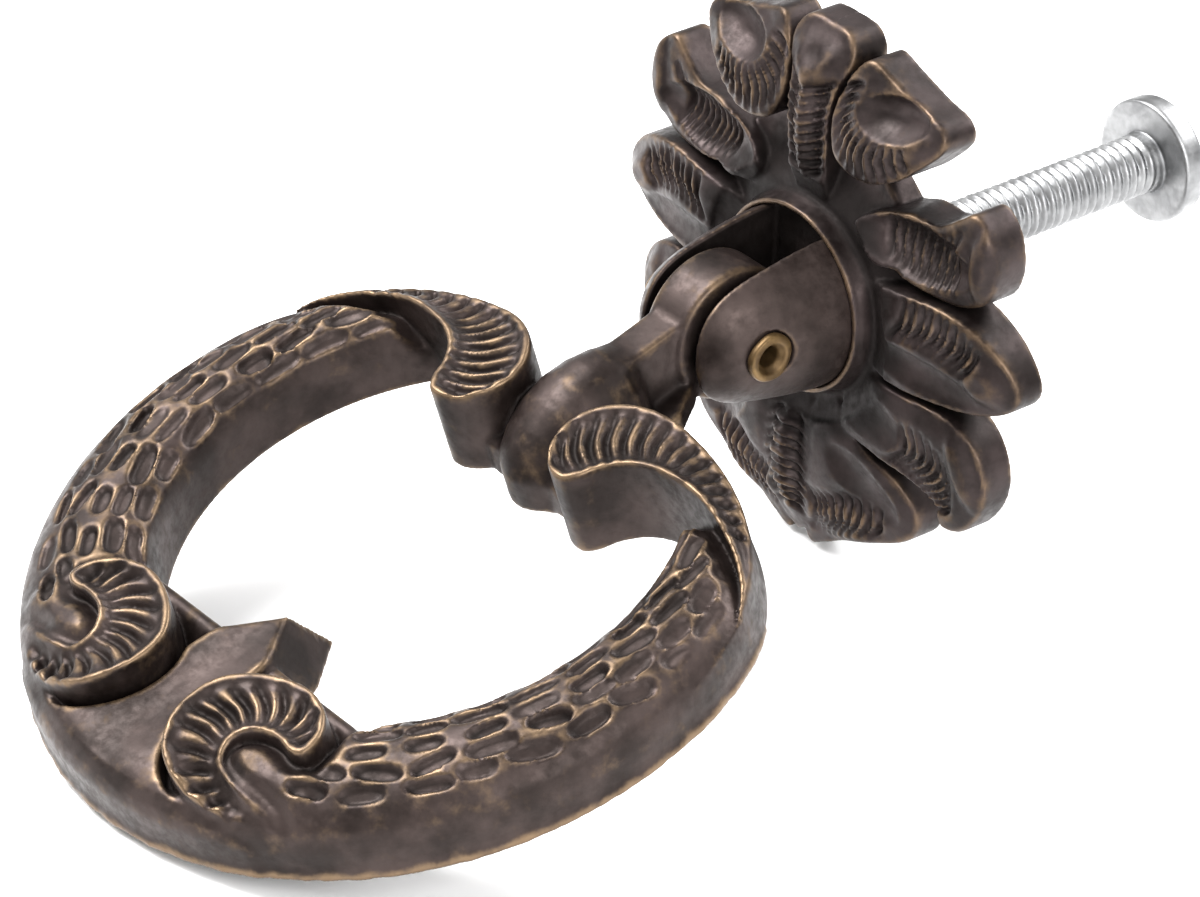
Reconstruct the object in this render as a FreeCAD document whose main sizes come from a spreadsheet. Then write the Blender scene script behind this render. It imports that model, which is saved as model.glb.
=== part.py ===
import FreeCAD, Part
import math
import os
import Sketcher

# Ring pull for a drawer or cabinet door: a cast leaf rosette with a raised cup, a slotted post seated in the
# cup, a cast ring that hangs on a hollow rivet through the post, and a machine screw from behind.
# Millimetres. Origin: the middle of the rosette's flat back, which lies against the drawer front.
# +Y runs back into the drawer, -Y to the front, +X along the rivet, +Z up.

os.makedirs("parts", exist_ok=True)
doc = FreeCAD.newDocument("ring_pull")
Vector = FreeCAD.Vector

# Every size by name
SIZES = (
    # rosette
    ("base_radius", 11.0),
    ("plate_thickness", 2.2),
    ("leaf_bow", 0.22),
    ("cup_radius", 6.25),
    ("cup_flare", 0.4),
    ("cup_front", 4.5),
    ("cup_floor", 0.9),
    ("screw_hole_radius", 2.25),
    # post
    ("post_radius", 5.8),
    ("post_clearance", 0.05),
    ("post_straight", 5.0),
    ("taper_end_radius", 4.5),
    ("taper_end_reach", 11.9),
    ("taper_bow", 0.06),
    ("nose_radius", 1.5),
    ("nose_reach", 14.4),
    ("nose_bow", 0.23),
    ("slot_width", 4.9),
    ("slot_floor", 3.6),
    # rivet
    ("pin_reach", 10.1),
    ("pin_radius", 1.1),
    ("pin_play", 0.05),
    ("rivet_half_length", 5.25),
    ("rivet_head_radius", 1.6),
    ("rivet_head_thickness", 0.6),
    ("rivet_hollow_radius", 0.65),
    ("rivet_hollow_depth", 2.2),
    ("rivet_head_clearance", 0.05),
    # screw
    ("screw_radius", 1.97),
    ("thread_clearance", 0.03),
    ("screw_length", 28.0),
    ("screw_depth", 2.9),
    ("screw_hole_end", 4.2),
    ("screw_head_radius", 4.07),
    ("screw_head_height", 2.1),
    ("screw_head_rim", 0.6),
    ("screw_head_bow", 0.16),
    ("recess_width", 0.9),
    ("recess_half_length", 2.1),
    ("recess_depth", 1.3),
    # ring, laid flat; its middle is measured from the rivet's axis and all else from the middle
    ("rest_angle", 18.6),
    ("ring_radius", 23.3),
    ("ring_reach", 25.0),
    ("opening_radius", 16.4),
    ("opening_rise", 1.7),
    ("dome_rise", 0.85),
    ("back_level", 2.5),
    ("crown_level", 3.0),
    ("crown_inset", 3.7),
    ("skirt_width", 1.2),
    ("skirt_level", 1.0),
    ("inner_wall_level", 1.3),
    ("dome_bow", 0.26),
    ("shoulder_across", 8.2),
    ("shoulder_rise", 0.2),
    ("shoulder_radius", 16.0),
    ("scroll_across", 6.9),
    ("scroll_rise", 12.1),
    ("scroll_radius", 3.95),
    ("scroll_level", 3.2),
    ("hollow_across", 12.2),
    ("hollow_rise", 6.7),
    ("hollow_radius", 5.8),
    ("strip_radius", 10.2),
    ("strip_level", 3.0),
    ("strip_margin", 0.3),
    ("strip_end_rise", 3.0),
    ("slope_turn", 68.8),
    ("slope_tilt", 29.8),
    ("slope_across", 13.0),
    ("slope_rise", 12.4),
    ("tail_turn", -55.0),
    ("tail_tilt", 9.3),
    ("tail_across", 16.0),
    ("tail_rise", 13.0),
    ("strip_first_turn", 110.0),
    ("strip_last_turn", 82.0),
    ("strip_first_reach", 14.1),
    ("strip_last_reach", 12.7),
    ("eye_radius", 3.0),
    ("eye_depth", 0.9),
    ("rib_start", 1.4),
    ("ridge_radius", 0.6),
    ("ridge_inset", 0.12),
    ("ridge_level", 3.9),
    ("crest_width", 1.2),
    ("crest_flank", 0.35),
    ("crest_height", 0.7),
    ("volute_across", 7.4),
    ("volute_drop", 16.4),
    ("volute_radius", 4.4),
    ("volute_level", 3.3),
    ("foot_drop", 11.0),
    ("gap_level", 1.2),
    ("gap_half_width", 4.6),
    ("gap_end_drop", 24.0),
    ("keel_drop", 6.0),
    ("keel_rake", 2.6),
    ("keel_waist_drop", 11.5),
    ("keel_half_width", 2.5),
    ("keel_end_drop", 22.5),
    ("keel_end_half_width", 4.8),
    ("keel_level", 2.3),
    ("keel_brow_drop", 19.5),
    ("keel_end_level", 0.6),
    ("gouge_depth", 0.35),
    ("gouge_lift", 0.2),
    # tang, which runs from the rivet's axis to ends measured from the ring's middle
    ("knuckle_radius", 4.4),
    ("knuckle_width", 3.4),
    ("shank_width", 2.7),
    ("shank_level", 3.0),
    ("ledge_width", 7.0),
    ("ledge_start", 5.5),
    ("ledge_end_rise", 12.1),
    ("ledge_level", 1.0),
    ("boss_start", 6.9),
    ("boss_rise", 15.2),
    ("boss_tip_rise", 9.8),
    ("boss_radius", 2.9),
    ("boss_neck", 1.0),
    ("boss_point", 0.3),
    ("boss_bow", 0.2),
    ("boss_axis", 1.0),
)

# The rosette: a round base with scooped leaves about it and a hollow cup in the middle. Each leaf has its
# outline's corners on the +X side (sideways, height), the top of its domed face (sideways, height, level,
# radius of the dome), its scoops (sideways, height, lowest level, radius) and a fan of ribs given by its first
# and last rib's inner and outer ends.
LEAVES = (
    ("top", True, ((1.5, 8.0), (1.8, 13.0), (2.7, 16.6), (0.0, 18.2)),
     (0.0, 11.0, 4.5, 13.0), ((0.0, 14.8, 3.2, 2.2),), None, 0),
    ("upper", False, ((2.2, 9.5), (8.0, 11.3), (10.9, 14.3), (8.4, 16.0), (3.5, 17.4), (2.2, 14.8)),
     (4.0, 11.4, 4.9, 12.5), ((6.0, 14.4, 3.6, 3.2),),
     ((3.9, 13.6), (2.9, 11.0), (8.4, 14.0), (9.7, 12.6)), 7),
    ("shoulder", False, ((7.6, 4.4), (13.6, 4.9), (15.8, 8.2), (14.0, 11.5), (10.6, 9.4), (5.0, 8.2)),
     (7.8, 5.8, 4.3, 17.0), ((11.2, 6.9, 3.1, 3.6),),
     ((8.6, 7.2), (7.6, 9.2), (13.4, 8.2), (14.8, 10.2)), 7),
    ("side", False, ((5.0, -2.6), (9.0, -2.4), (15.0, -1.8), (18.3, 0.8), (15.0, 4.1), (10.2, 4.7), (5.0, 3.4)),
     (8.5, 1.0, 4.3, 24.0), ((12.4, 0.4, 3.1, 3.8),),
     ((9.3, 1.6), (8.6, 4.3), (15.2, 1.4), (16.9, 3.0)), 8),
    ("lower", False, ((4.4, -7.0), (9.8, -8.4), (12.0, -10.8), (14.5, -10.6), (16.2, -7.0), (15.2, -3.8),
                      (11.6, -2.4), (4.6, -2.9)),
     (7.6, -6.3, 4.1, 21.0), ((11.0, -6.6, 3.0, 3.6),),
     ((8.9, -5.0), (7.9, -2.9), (13.2, -8.4), (15.7, -9.0)), 9),
    ("foot", False, ((1.3, -7.4), (0.5, -14.0), (0.7, -17.7), (7.4, -14.8), (10.6, -11.6), (9.0, -9.0),
                     (3.2, -5.4)),
     (3.2, -8.6, 4.1, 20.0), ((5.2, -11.2, 3.0, 3.6),),
     ((2.7, -13.0), (1.7, -16.6), (7.9, -12.0), (9.9, -12.8)), 8),
    ("bottom", True, ((0.0, -17.4), (1.5, -15.6), (2.0, -11.6), (1.6, -7.6)),
     (0.0, -10.6, 4.5, 13.0), (), ((-2.2, -9.0), (2.2, -9.0), (-2.0, -15.4), (2.0, -15.4)), 7),
)


sheet = doc.addObject("Spreadsheet::Sheet", "sizes")
VALUES = {}


def add_sizes(pairs):
    """Writes named sizes into the sheet, one row each."""
    for alias, value in pairs:
        VALUES[alias] = float(value)
        row = len(VALUES)
        sheet.set("A%d" % row, alias)
        sheet.set("B%d" % row, str(value))
        sheet.setAlias("B%d" % row, alias)


def named(stem, words, values):
    """Adds a group of sizes with a common first word and gives back their names."""
    names = [stem + "_" + word for word in words]
    add_sizes(zip(names, values))
    return names


add_sizes(SIZES)
leaf_plans = []
for name, whole, corners, dome, scoops, fan, ribs in LEAVES:
    outline = [tuple(named(name + "_corner%d" % number, ("across", "up"), corner))
               for number, corner in enumerate(corners, start=1)]
    top = named(name + "_top", ("across", "up", "level", "radius"), dome)
    hollows = [named(name + "_scoop%d" % number, ("across", "up", "level", "radius"), scoop)
               for number, scoop in enumerate(scoops, start=1)]
    ends = [tuple(named(name + "_rib_" + end, ("across", "up"), spot))
            for end, spot in zip(("first_root", "first_end", "last_root", "last_end"), fan or ())]
    leaf_plans.append((name, whole, outline, top, hollows, ends, ribs))
doc.recompute()



def bound(text):
    """An expression in which every named size is read from the sheet."""
    words = []
    for word in text.split():
        words.append("<<sizes>>." + word if word.isidentifier() else word)
    return " ".join(words)


def worked_out(text):
    """The present value of a sum of named sizes."""
    total = 0.0
    sign = 1.0
    for word in text.split():
        if word in ("+", "-"):
            sign = 1.0 if word == "+" else -1.0
        else:
            total += sign * (VALUES[word] if word in VALUES else float(word))
            sign = 1.0
    return total


def primitive(kind, name, **sizes):
    """A primitive solid whose sizes follow the sheet."""
    solid = doc.addObject("Part::" + kind, name)
    for prop, text in sizes.items():
        solid.setExpression(prop, bound(text))
    return solid


def place(solid, x="0", y="0", z="0", turn=None):
    """Sets a solid at a point of the sheet's sizes, turned first if a rotation is given."""
    if turn is not None:
        solid.Placement = FreeCAD.Placement(Vector(), turn)
    solid.setExpression("Placement.Base.x", bound(x))
    solid.setExpression("Placement.Base.y", bound(y))
    solid.setExpression("Placement.Base.z", bound(z))
    return solid


def join(name, solids):
    fused = doc.addObject("Part::MultiFuse", name)
    fused.Shapes = solids
    return fused


def cut(name, base, tool):
    result = doc.addObject("Part::Cut", name)
    result.Base = base
    result.Tool = tool
    return result


def common(name, solids):
    result = doc.addObject("Part::MultiCommon", name)
    result.Shapes = solids
    return result


def mirrored(name, source):
    """The same form on the other side of the middle plane."""
    twin = doc.addObject("Part::Mirroring", name)
    twin.Source = source
    twin.Normal = Vector(1, 0, 0)
    return twin


ALONG_X = FreeCAD.Rotation(Vector(0, 1, 0), 90)
ALONG_Y = FreeCAD.Rotation(Vector(1, 0, 0), -90)


def sketch_on(body, name, role):
    """An empty sketch on one of a body's own origin planes."""
    sketch = body.newObject("Sketcher::SketchObject", name)
    plane = next(item for item in body.Origin.OriginFeatures if item.Role == role)
    sketch.AttachmentSupport = (plane, [""])
    sketch.MapMode = "FlatFace"
    return sketch


def draw(sketch, corners, bows=()):
    """A closed outline through named corners. An edge in bows is an arc: edge number, rise over half its chord."""
    count = len(corners)
    spots = [Vector(worked_out(x), worked_out(y), 0) for x, y in corners]
    arcs = dict(bows)
    for index in range(count):
        start = spots[index]
        end = spots[(index + 1) % count]
        if index in arcs:
            chord = end - start
            rise = Vector(chord.y, -chord.x, 0) * worked_out(arcs[index]) / 2
            sketch.addGeometry(Part.Arc(start, start + chord / 2 + rise, end))
        else:
            sketch.addGeometry(Part.LineSegment(start, end))
    ends = []
    for index in range(count):
        curve = sketch.Geometry[index]
        first = 1 if (curve.StartPoint - spots[index]).Length < 1e-6 else 2
        ends.append((first, 3 - first))
    for index in range(count):
        follower = (index + 1) % count
        sketch.addConstraint(Sketcher.Constraint("Coincident", index, ends[index][1], follower, ends[follower][0]))
    for index, (x, y) in enumerate(corners):
        for kind, text, value in (("DistanceX", x, spots[index].x), ("DistanceY", y, spots[index].y)):
            held = sketch.addConstraint(Sketcher.Constraint(kind, -1, 1, index, ends[index][0], value))
            sketch.setExpression("Constraints[%d]" % held, bound(text))
    for index, bow in arcs.items():
        (x1, y1), (x2, y2) = corners[index], corners[(index + 1) % count]
        chord = "sqrt( ( ( %s ) - ( %s ) ) ^ 2 + ( ( %s ) - ( %s ) ) ^ 2 )" % (x2, x1, y2, y1)
        radius = chord + " / 4 * ( %s + 1 / ( %s ) )" % (bow, bow)
        held = sketch.addConstraint(Sketcher.Constraint("Radius", index, sketch.Geometry[index].Radius))
        sketch.setExpression("Constraints[%d]" % held, bound(radius))


def turned(name, corners, bows=(), plane="XY_Plane", axis="V_Axis"):
    """A body turned about one of its sketch's axes."""
    body = doc.addObject("PartDesign::Body", name)
    sketch = sketch_on(body, name + "_profile", plane)
    draw(sketch, corners, bows)
    turning = body.newObject("PartDesign::Revolution", name + "_turning")
    turning.Profile = sketch
    turning.ReferenceAxis = (sketch, [axis])
    turning.Angle = 360
    doc.recompute()
    return body


# The screw comes from behind the drawer front: a plain shank and a domed head with a cross recess.
screw_under = "screw_length - screw_depth"
screw_turning = turned(
    "screw_turning",
    [
        ("0", "- screw_depth"),
        ("screw_radius", "- screw_depth"),
        ("screw_radius", screw_under),
        ("screw_head_radius", screw_under),
        ("screw_head_radius", screw_under + " + screw_head_rim"),
        ("0", screw_under + " + screw_head_height"),
    ],
    bows=[(4, "screw_head_bow")],
)
recess = []
for name, wide, tall in (("recess_across", "recess_half_length * 2", "recess_width"),
                         ("recess_upright", "recess_width", "recess_half_length * 2")):
    bar = primitive("Box", name, Length=wide, Width="recess_depth * 2", Height=tall)
    across = "0 - recess_half_length" if wide != "recess_width" else "0 - recess_width / 2"
    upright = "0 - recess_width / 2" if wide != "recess_width" else "0 - recess_half_length"
    place(bar, across, screw_under + " + screw_head_height - recess_depth", upright)
    recess.append(bar)
screw = cut("screw", screw_turning, join("screw_recess", recess))

# The post stands in the rosette's cup: a bullet nose, a slot for the ring's knuckle, a cross hole for the
# rivet and a blind hole for the screw.
post_turning = turned(
    "post_turning",
    [
        ("0", "- cup_floor"),
        ("0", "- nose_reach"),
        ("nose_radius", "- nose_reach"),
        ("taper_end_radius", "- taper_end_reach"),
        ("post_radius", "- post_straight"),
        ("post_radius", "- cup_floor"),
    ],
    bows=[(2, "nose_bow"), (3, "taper_bow")],
)
slot = primitive("Box", "post_slot", Length="slot_width", Width="nose_reach", Height="post_radius * 4")
place(slot, "0 - slot_width / 2", "0 - slot_floor - nose_reach", "0 - post_radius * 2")
rivet_hole = primitive("Cylinder", "rivet_hole", Radius="pin_radius", Height="post_radius * 4")
place(rivet_hole, "0 - post_radius * 2", "0 - pin_reach", "0", ALONG_X)
rivet_sinks = []
for side, start in (("near", "rivet_half_length - rivet_head_thickness"), ("far", "0 - rivet_half_length * 2")):
    sink = primitive("Cylinder", "rivet_sink_" + side, Radius="rivet_head_radius + rivet_head_clearance",
                     Height="rivet_half_length + rivet_head_thickness")
    place(sink, start, "0 - pin_reach", "0", ALONG_X)
    rivet_sinks.append(sink)
screw_hole = primitive("Cylinder", "screw_thread_hole", Radius="screw_radius + thread_clearance",
                       Height="screw_hole_end")
place(screw_hole, "0", "0 - screw_hole_end", "0", ALONG_Y)
post = cut("post", post_turning, join("post_openings", [slot, rivet_hole, screw_hole] + rivet_sinks))

# The rivet is a short tube end to end with spread heads that sit in the post's cheeks.
hollow_floor = "rivet_half_length - rivet_hollow_depth"
neck = "rivet_half_length - rivet_head_thickness"
rivet_turning = turned(
    "rivet",
    [
        ("0", "- rivet_half_length + rivet_hollow_depth"),
        ("rivet_hollow_radius", "- rivet_half_length + rivet_hollow_depth"),
        ("rivet_hollow_radius", "- rivet_half_length"),
        ("rivet_head_radius", "- rivet_half_length"),
        ("rivet_head_radius", "- rivet_half_length + rivet_head_thickness"),
        ("pin_radius", "- rivet_half_length + rivet_head_thickness"),
        ("pin_radius", neck),
        ("rivet_head_radius", neck),
        ("rivet_head_radius", "rivet_half_length"),
        ("rivet_hollow_radius", "rivet_half_length"),
        ("rivet_hollow_radius", hollow_floor),
        ("0", hollow_floor),
    ],
)
rivet = place(rivet_turning, "0", "0 - pin_reach", "0", FreeCAD.Rotation(Vector(0, 0, 1), -90))

# Where the leaves' faces lie, and the grooves that part their ribs
def level_at(across, up, top, hollows):
    """How far to the front a leaf's scooped face lies at one place."""
    x, z, level, radius = (VALUES[name] for name in top)
    face = level - radius + math.sqrt(radius ** 2 - (across - x) ** 2 - (up - z) ** 2)
    for hollow in hollows:
        x, z, level, radius = (VALUES[name] for name in hollow)
        away = (across - x) ** 2 + (up - z) ** 2
        if away < radius ** 2:
            face = min(face, level + radius - math.sqrt(radius ** 2 - away))
    return face


def gouge(start, end, outward):
    """A V-shaped groove's waste from one point of a face to another."""
    run = end - start
    side = run.cross(outward).normalize() * (VALUES["gouge_depth"] + VALUES["gouge_lift"])
    lift = outward * VALUES["gouge_lift"]
    low = start - outward * VALUES["gouge_depth"]
    loop = Part.makePolygon([low, start + lift + side, start + lift - side, low])
    return Part.Face(loop).extrude(run)


def gouges(name, fan, count, top, hollows):
    """Grooves between the ribs of a leaf, from the first to the last of a fan."""
    first_in, first_out, last_in, last_out = fan
    waste = []
    for index in range(count):
        share = index / (count - 1)
        ends = []
        for begin, end in ((first_in, last_in), (first_out, last_out)):
            across = VALUES[begin[0]] * (1 - share) + VALUES[end[0]] * share
            up = VALUES[begin[1]] * (1 - share) + VALUES[end[1]] * share
            ends.append(Vector(across, - level_at(across, up, top, ()), up))
        waste.append(gouge(ends[0], ends[1], Vector(0, -1, 0)))
    fan_waste = doc.addObject("Part::Feature", name)
    fan_waste.Shape = Part.makeCompound(waste)
    return fan_waste


leaf_solids = []
for name, whole, outline, top, hollows, ends, ribs in leaf_plans:
    if whole:
        outline = [("0" if VALUES[x] == 0 else x, z) for x, z in outline]
        twins = [("0 - " + x, z) for x, z in outline if x != "0"]
        outline = outline + twins[::-1]
    body = doc.addObject("PartDesign::Body", name + "_leaf_outline")
    sketch = sketch_on(body, name + "_leaf_sketch", "XZ_Plane")
    draw(sketch, outline, bows=[(index, "leaf_bow") for index in range(len(outline) - 1)])
    pad = body.newObject("PartDesign::Pad", name + "_leaf_pad")
    pad.Profile = sketch
    pad.setExpression("Length", bound(top[2] + " + plate_thickness"))
    ball = primitive("Sphere", name + "_leaf_dome", Radius=top[3])
    place(ball, top[0], top[3] + " - " + top[2], top[1])
    domed = common(name + "_leaf_domed", [body, ball])
    dishes = []
    for number, hollow in enumerate(hollows, start=1):
        dish = primitive("Sphere", name + "_leaf_scoop%d" % number, Radius=hollow[3])
        place(dish, hollow[0], "0 - " + hollow[2] + " - " + hollow[3], hollow[1])
        dishes.append(dish)
    leaf = cut(name + "_leaf", domed, dishes[0]) if dishes else domed
    if ends:
        leaf = cut(name + "_leaf_ribbed", leaf, gouges(name + "_leaf_gouges", ends, ribs, top, hollows))
    leaf_solids.append(leaf)
    if not whole:
        leaf_solids.append(mirrored(name + "_leaf_twin", leaf))

base = primitive("Cylinder", "rosette_base", Radius="base_radius", Height="plate_thickness")
place(base, "0", "0 - plate_thickness", "0", ALONG_Y)
cup = turned(
    "cup_turning",
    [
        ("0", "- plate_thickness"),
        ("0", "- cup_front"),
        ("cup_radius", "- cup_front"),
        ("cup_radius + cup_flare", "- plate_thickness"),
    ],
)
leaves = join("leaves", leaf_solids + [base, cup])
seat = primitive("Cylinder", "cup_bore", Radius="post_radius + post_clearance", Height="base_radius")
place(seat, "0", "0 - cup_floor - base_radius", "0", ALONG_Y)
way = primitive("Cylinder", "screw_way", Radius="screw_hole_radius", Height="base_radius")
place(way, "0", "0 - base_radius / 2", "0", ALONG_Y)
rosette = cut("rosette", leaves, join("rosette_openings", [seat, way]))

# The ring, laid flat: the band is an eccentric pair of circles under a turned dome.
full_height = "back_level + ridge_level"
twice_height = "back_level * 2 + ridge_level * 2"
disc = primitive("Cylinder", "ring_disc", Radius="ring_radius", Height=full_height)
place(disc, "0", "0 - ring_reach", "0 - back_level")
corner_block = primitive("Box", "shoulder_block", Length="ring_radius * 2", Width="ring_radius * 2",
                         Height=twice_height)
place(corner_block, "0", "0 - ring_reach + shoulder_rise", "0 - back_level * 2")
shoulder_round = primitive("Cylinder", "shoulder_round", Radius="shoulder_radius", Height=twice_height)
place(shoulder_round, "shoulder_across", "0 - ring_reach + shoulder_rise", "0 - back_level * 2")
shoulder_waste = cut("shoulder_waste", corner_block, shoulder_round)

lobe = primitive("Cylinder", "scroll_lobe", Radius="scroll_radius", Height=full_height)
place(lobe, "scroll_across", "0 - ring_reach + scroll_rise", "0 - back_level")
lobe_middle = primitive("Box", "scroll_middle", Length="scroll_across", Width="ring_radius",
                        Height=full_height)
place(lobe_middle, "0", "0 - ring_reach + scroll_rise - scroll_radius", "0 - back_level")
lobe_side = primitive("Box", "scroll_side", Length="hollow_across", Width="ring_radius", Height=full_height)
place(lobe_side, "0", "0 - ring_reach + hollow_rise + scroll_radius", "0 - back_level")
hollow = primitive("Cylinder", "scroll_hollow", Radius="hollow_radius", Height=full_height)
place(hollow, "hollow_across", "0 - ring_reach + hollow_rise", "0 - back_level")
scroll_block = cut("scroll_block", join("scroll_mass", [lobe, lobe_middle, lobe_side]), hollow)
opening_round = primitive("Cylinder", "opening_round", Radius="opening_radius", Height=twice_height)
place(opening_round, "0", "0 - ring_reach + opening_rise", "0 - back_level * 2")
foot_block = primitive("Box", "foot_block", Length="opening_radius", Width="opening_radius", Height=twice_height)
place(foot_block, "0", "0 - ring_reach - foot_drop - opening_radius", "0 - back_level * 2")
opening_waste = cut("opening_waste", opening_round, join("opening_stays", [scroll_block, foot_block]))
near_half = primitive("Box", "near_half", Length="ring_radius * 2", Width="ring_radius * 3", Height=full_height)
place(near_half, "0", "0 - ring_radius * 3", "0 - back_level")
flat_half = cut("band_flat", common("band_blank", [disc, near_half]),
                join("band_waste", [shoulder_waste, opening_waste]))
dome = turned(
    "band_dome",
    [
        ("0", "- back_level"),
        ("ring_radius + skirt_width", "- back_level"),
        ("ring_radius + skirt_width", "- skirt_level"),
        ("ring_radius - crown_inset", "crown_level"),
        ("opening_radius", "inner_wall_level"),
        ("0", "inner_wall_level"),
    ],
    bows=[(2, "dome_bow"), (3, "dome_bow")],
    plane="XZ_Plane",
)
place(dome, "0", "0 - ring_reach + dome_rise", "0")
gap = primitive("Box", "keel_gap", Length="gap_half_width", Width="gap_end_drop - keel_drop",
                Height="gap_level + ridge_level * 2")
place(gap, "0", "0 - ring_reach - gap_end_drop", "0 - gap_level")
band_half = cut("band_half", common("band_solid", [flat_half, dome]), gap)

# Along the top a strip curls out of each scroll and thins to a point, with a raised rim on its inner side.
strip_round = primitive("Cylinder", "strip_round", Radius="strip_radius + strip_margin", Height=twice_height)
strip_middle = "0 - ring_reach + hollow_rise - strip_radius + hollow_radius"
place(strip_round, "hollow_across", strip_middle, "0 - back_level * 2")
strip_side = primitive("Box", "strip_side", Length="ring_radius", Width="ring_radius", Height=twice_height)
place(strip_side, "hollow_across", "0 - ring_reach", "0 - back_level * 2")
strip_end = primitive("Box", "strip_end", Length="ring_radius * 2", Width="ring_radius * 3", Height=twice_height)
place(strip_end, "0", "0 - ring_reach + strip_end_rise - ring_radius * 3", "0 - back_level * 2")
strip_top = primitive("Box", "strip_top", Length="ring_radius * 2", Width="ring_radius * 3", Height="ridge_level")
place(strip_top, "0", "0 - ring_radius * 3", "strip_level")
slope = primitive("Cylinder", "strip_slope", Radius="ring_radius * 2", Height="ridge_level * 2")
place(slope, "slope_across", "0 - ring_reach + slope_rise", "ridge_level",
      FreeCAD.Rotation(VALUES["slope_turn"], VALUES["slope_tilt"], 0))
tail_slope = primitive("Cylinder", "strip_tail_slope", Radius="ring_radius * 2", Height="ridge_level * 2")
place(tail_slope, "tail_across", "0 - ring_reach + tail_rise", "strip_level",
      FreeCAD.Rotation(VALUES["tail_turn"], VALUES["tail_tilt"], 0))
strip_start = primitive("Box", "strip_start", Length="scroll_across", Width="ring_radius * 3", Height=twice_height)
place(strip_start, "0", "0 - ring_radius * 3", "0 - back_level * 2")
strip = cut("strip", flat_half, join("strip_waste", [common("strip_inside", [strip_round, strip_side]), strip_end,
                                                     strip_start, strip_top, slope, tail_slope]))
crest_rounds = []
for name, wide, narrow in (("crest_outer", "crest_width", "crest_width - crest_flank"),
                           ("crest_inner", "0", "crest_flank")):
    crest_round = primitive("Cone", name, Radius1="strip_radius + strip_margin + ridge_inset + " + wide,
                            Radius2="strip_radius + strip_margin + ridge_inset + " + narrow,
                            Height="crest_height * 2")
    place(crest_round, "hollow_across", strip_middle, "strip_level - crest_height")
    crest_rounds.append(crest_round)
crest_side = primitive("Box", "crest_side", Length="ring_radius", Width="ring_radius", Height=twice_height)
place(crest_side, "scroll_across + scroll_radius - ridge_radius * 2", "0 - ring_reach + strip_end_rise",
      "0 - back_level * 2")
crest = cut("strip_crest", common("crest_inside", [cut("crest", *crest_rounds), flat_half, crest_side]),
            join("crest_slopes", [slope, tail_slope]))

# Scrolls at the top and volutes at the bottom stand over the band, each with a raised rim and a scooped eye.
raised = [band_half, strip, crest]
eyes = []
spots = (("scroll", "0 - ring_reach + scroll_rise"), ("volute", "0 - ring_reach - volute_drop"))
for name, middle in spots:
    drum = primitive("Cylinder", name + "_drum", Radius=name + "_radius", Height="back_level + " + name + "_level")
    place(drum, name + "_across", middle, "0 - back_level")
    rim = primitive("Torus", name + "_rim", Radius1=name + "_radius - ridge_radius - ridge_inset",
                    Radius2="ridge_radius")
    place(rim, name + "_across", middle, name + "_level")
    eye = primitive("Sphere", name + "_eye", Radius="eye_radius")
    place(eye, name + "_across", middle, name + "_level + eye_radius - eye_depth", ALONG_X)
    raised += [drum, rim]
    eyes.append(eye)
plain_half = cut("plain_half", join("raised_forms", raised), join("eyes", eyes))


def around(across, rise, radius, degrees, level):
    """A point of the flat ring at a distance and direction from a middle."""
    turn = math.radians(degrees)
    return Vector(VALUES[across] + radius * math.cos(turn), rise + radius * math.sin(turn), level)


UP = Vector(0, 0, 1)
STRIP_RIBS = 6
grooves = []
for name, middle, first, last, count in (("scroll", spots[0][1], 95, 250, 7), ("volute", spots[1][1], 10, 340, 12)):
    rise = worked_out(middle)
    level = VALUES[name + "_level"]
    reach = VALUES[name + "_radius"] - VALUES["ridge_radius"] * 2
    for index in range(count):
        degrees = first + (last - first) * index / (count - 1)
        grooves.append(gouge(around(name + "_across", rise, VALUES["rib_start"], degrees, level),
                             around(name + "_across", rise, reach, degrees, level), UP))
rise = worked_out("- ring_reach + hollow_rise - strip_radius + hollow_radius")
level = VALUES["strip_level"]
root = VALUES["strip_radius"] + VALUES["strip_margin"] + VALUES["crest_width"] + VALUES["gouge_depth"]
for index in range(STRIP_RIBS):
    share = index / (STRIP_RIBS - 1)
    degrees = VALUES["strip_first_turn"] * (1 - share) + VALUES["strip_last_turn"] * share
    reach = VALUES["strip_first_reach"] * (1 - share) + VALUES["strip_last_reach"] * share
    grooves.append(gouge(around("hollow_across", rise, root, degrees, level),
                         around("hollow_across", rise, reach, degrees, level), UP))
waste = doc.addObject("Part::Feature", "ring_gouges")
waste.Shape = Part.makeCompound(grooves)
raised_half = cut("raised_half", plain_half, waste)

# The keel: a long wedge with a raked point at the foot of the opening.
keel_body = doc.addObject("PartDesign::Body", "keel_plan")
keel_sketch = sketch_on(keel_body, "keel_outline", "XY_Plane")
draw(keel_sketch, [
    ("0", "- ring_reach - keel_drop"),
    ("- keel_half_width", "- ring_reach - keel_waist_drop"),
    ("- keel_end_half_width", "- ring_reach - keel_end_drop"),
    ("keel_end_half_width", "- ring_reach - keel_end_drop"),
    ("keel_half_width", "- ring_reach - keel_waist_drop"),
])
keel_pad = keel_body.newObject("PartDesign::Pad", "keel_pad")
keel_pad.Profile = keel_sketch
keel_pad.setExpression("Length", bound("back_level + keel_level"))
place(keel_body, "0", "0", "0 - back_level")
rake_body = doc.addObject("PartDesign::Body", "keel_side")
rake_sketch = sketch_on(rake_body, "keel_rake", "YZ_Plane")
draw(rake_sketch, [
    ("- ring_reach - keel_drop", "- back_level"),
    ("- ring_reach - keel_drop - keel_rake", "keel_level"),
    ("- ring_reach - keel_brow_drop", "keel_level"),
    ("- ring_reach - keel_end_drop", "keel_end_level"),
    ("- ring_reach - keel_end_drop", "- back_level"),
])
rake_pad = rake_body.newObject("PartDesign::Pad", "keel_side_pad")
rake_pad.Profile = rake_sketch
rake_pad.Midplane = True
rake_pad.setExpression("Length", bound("keel_end_half_width * 2"))
keel = common("keel", [keel_body, rake_body])

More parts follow.
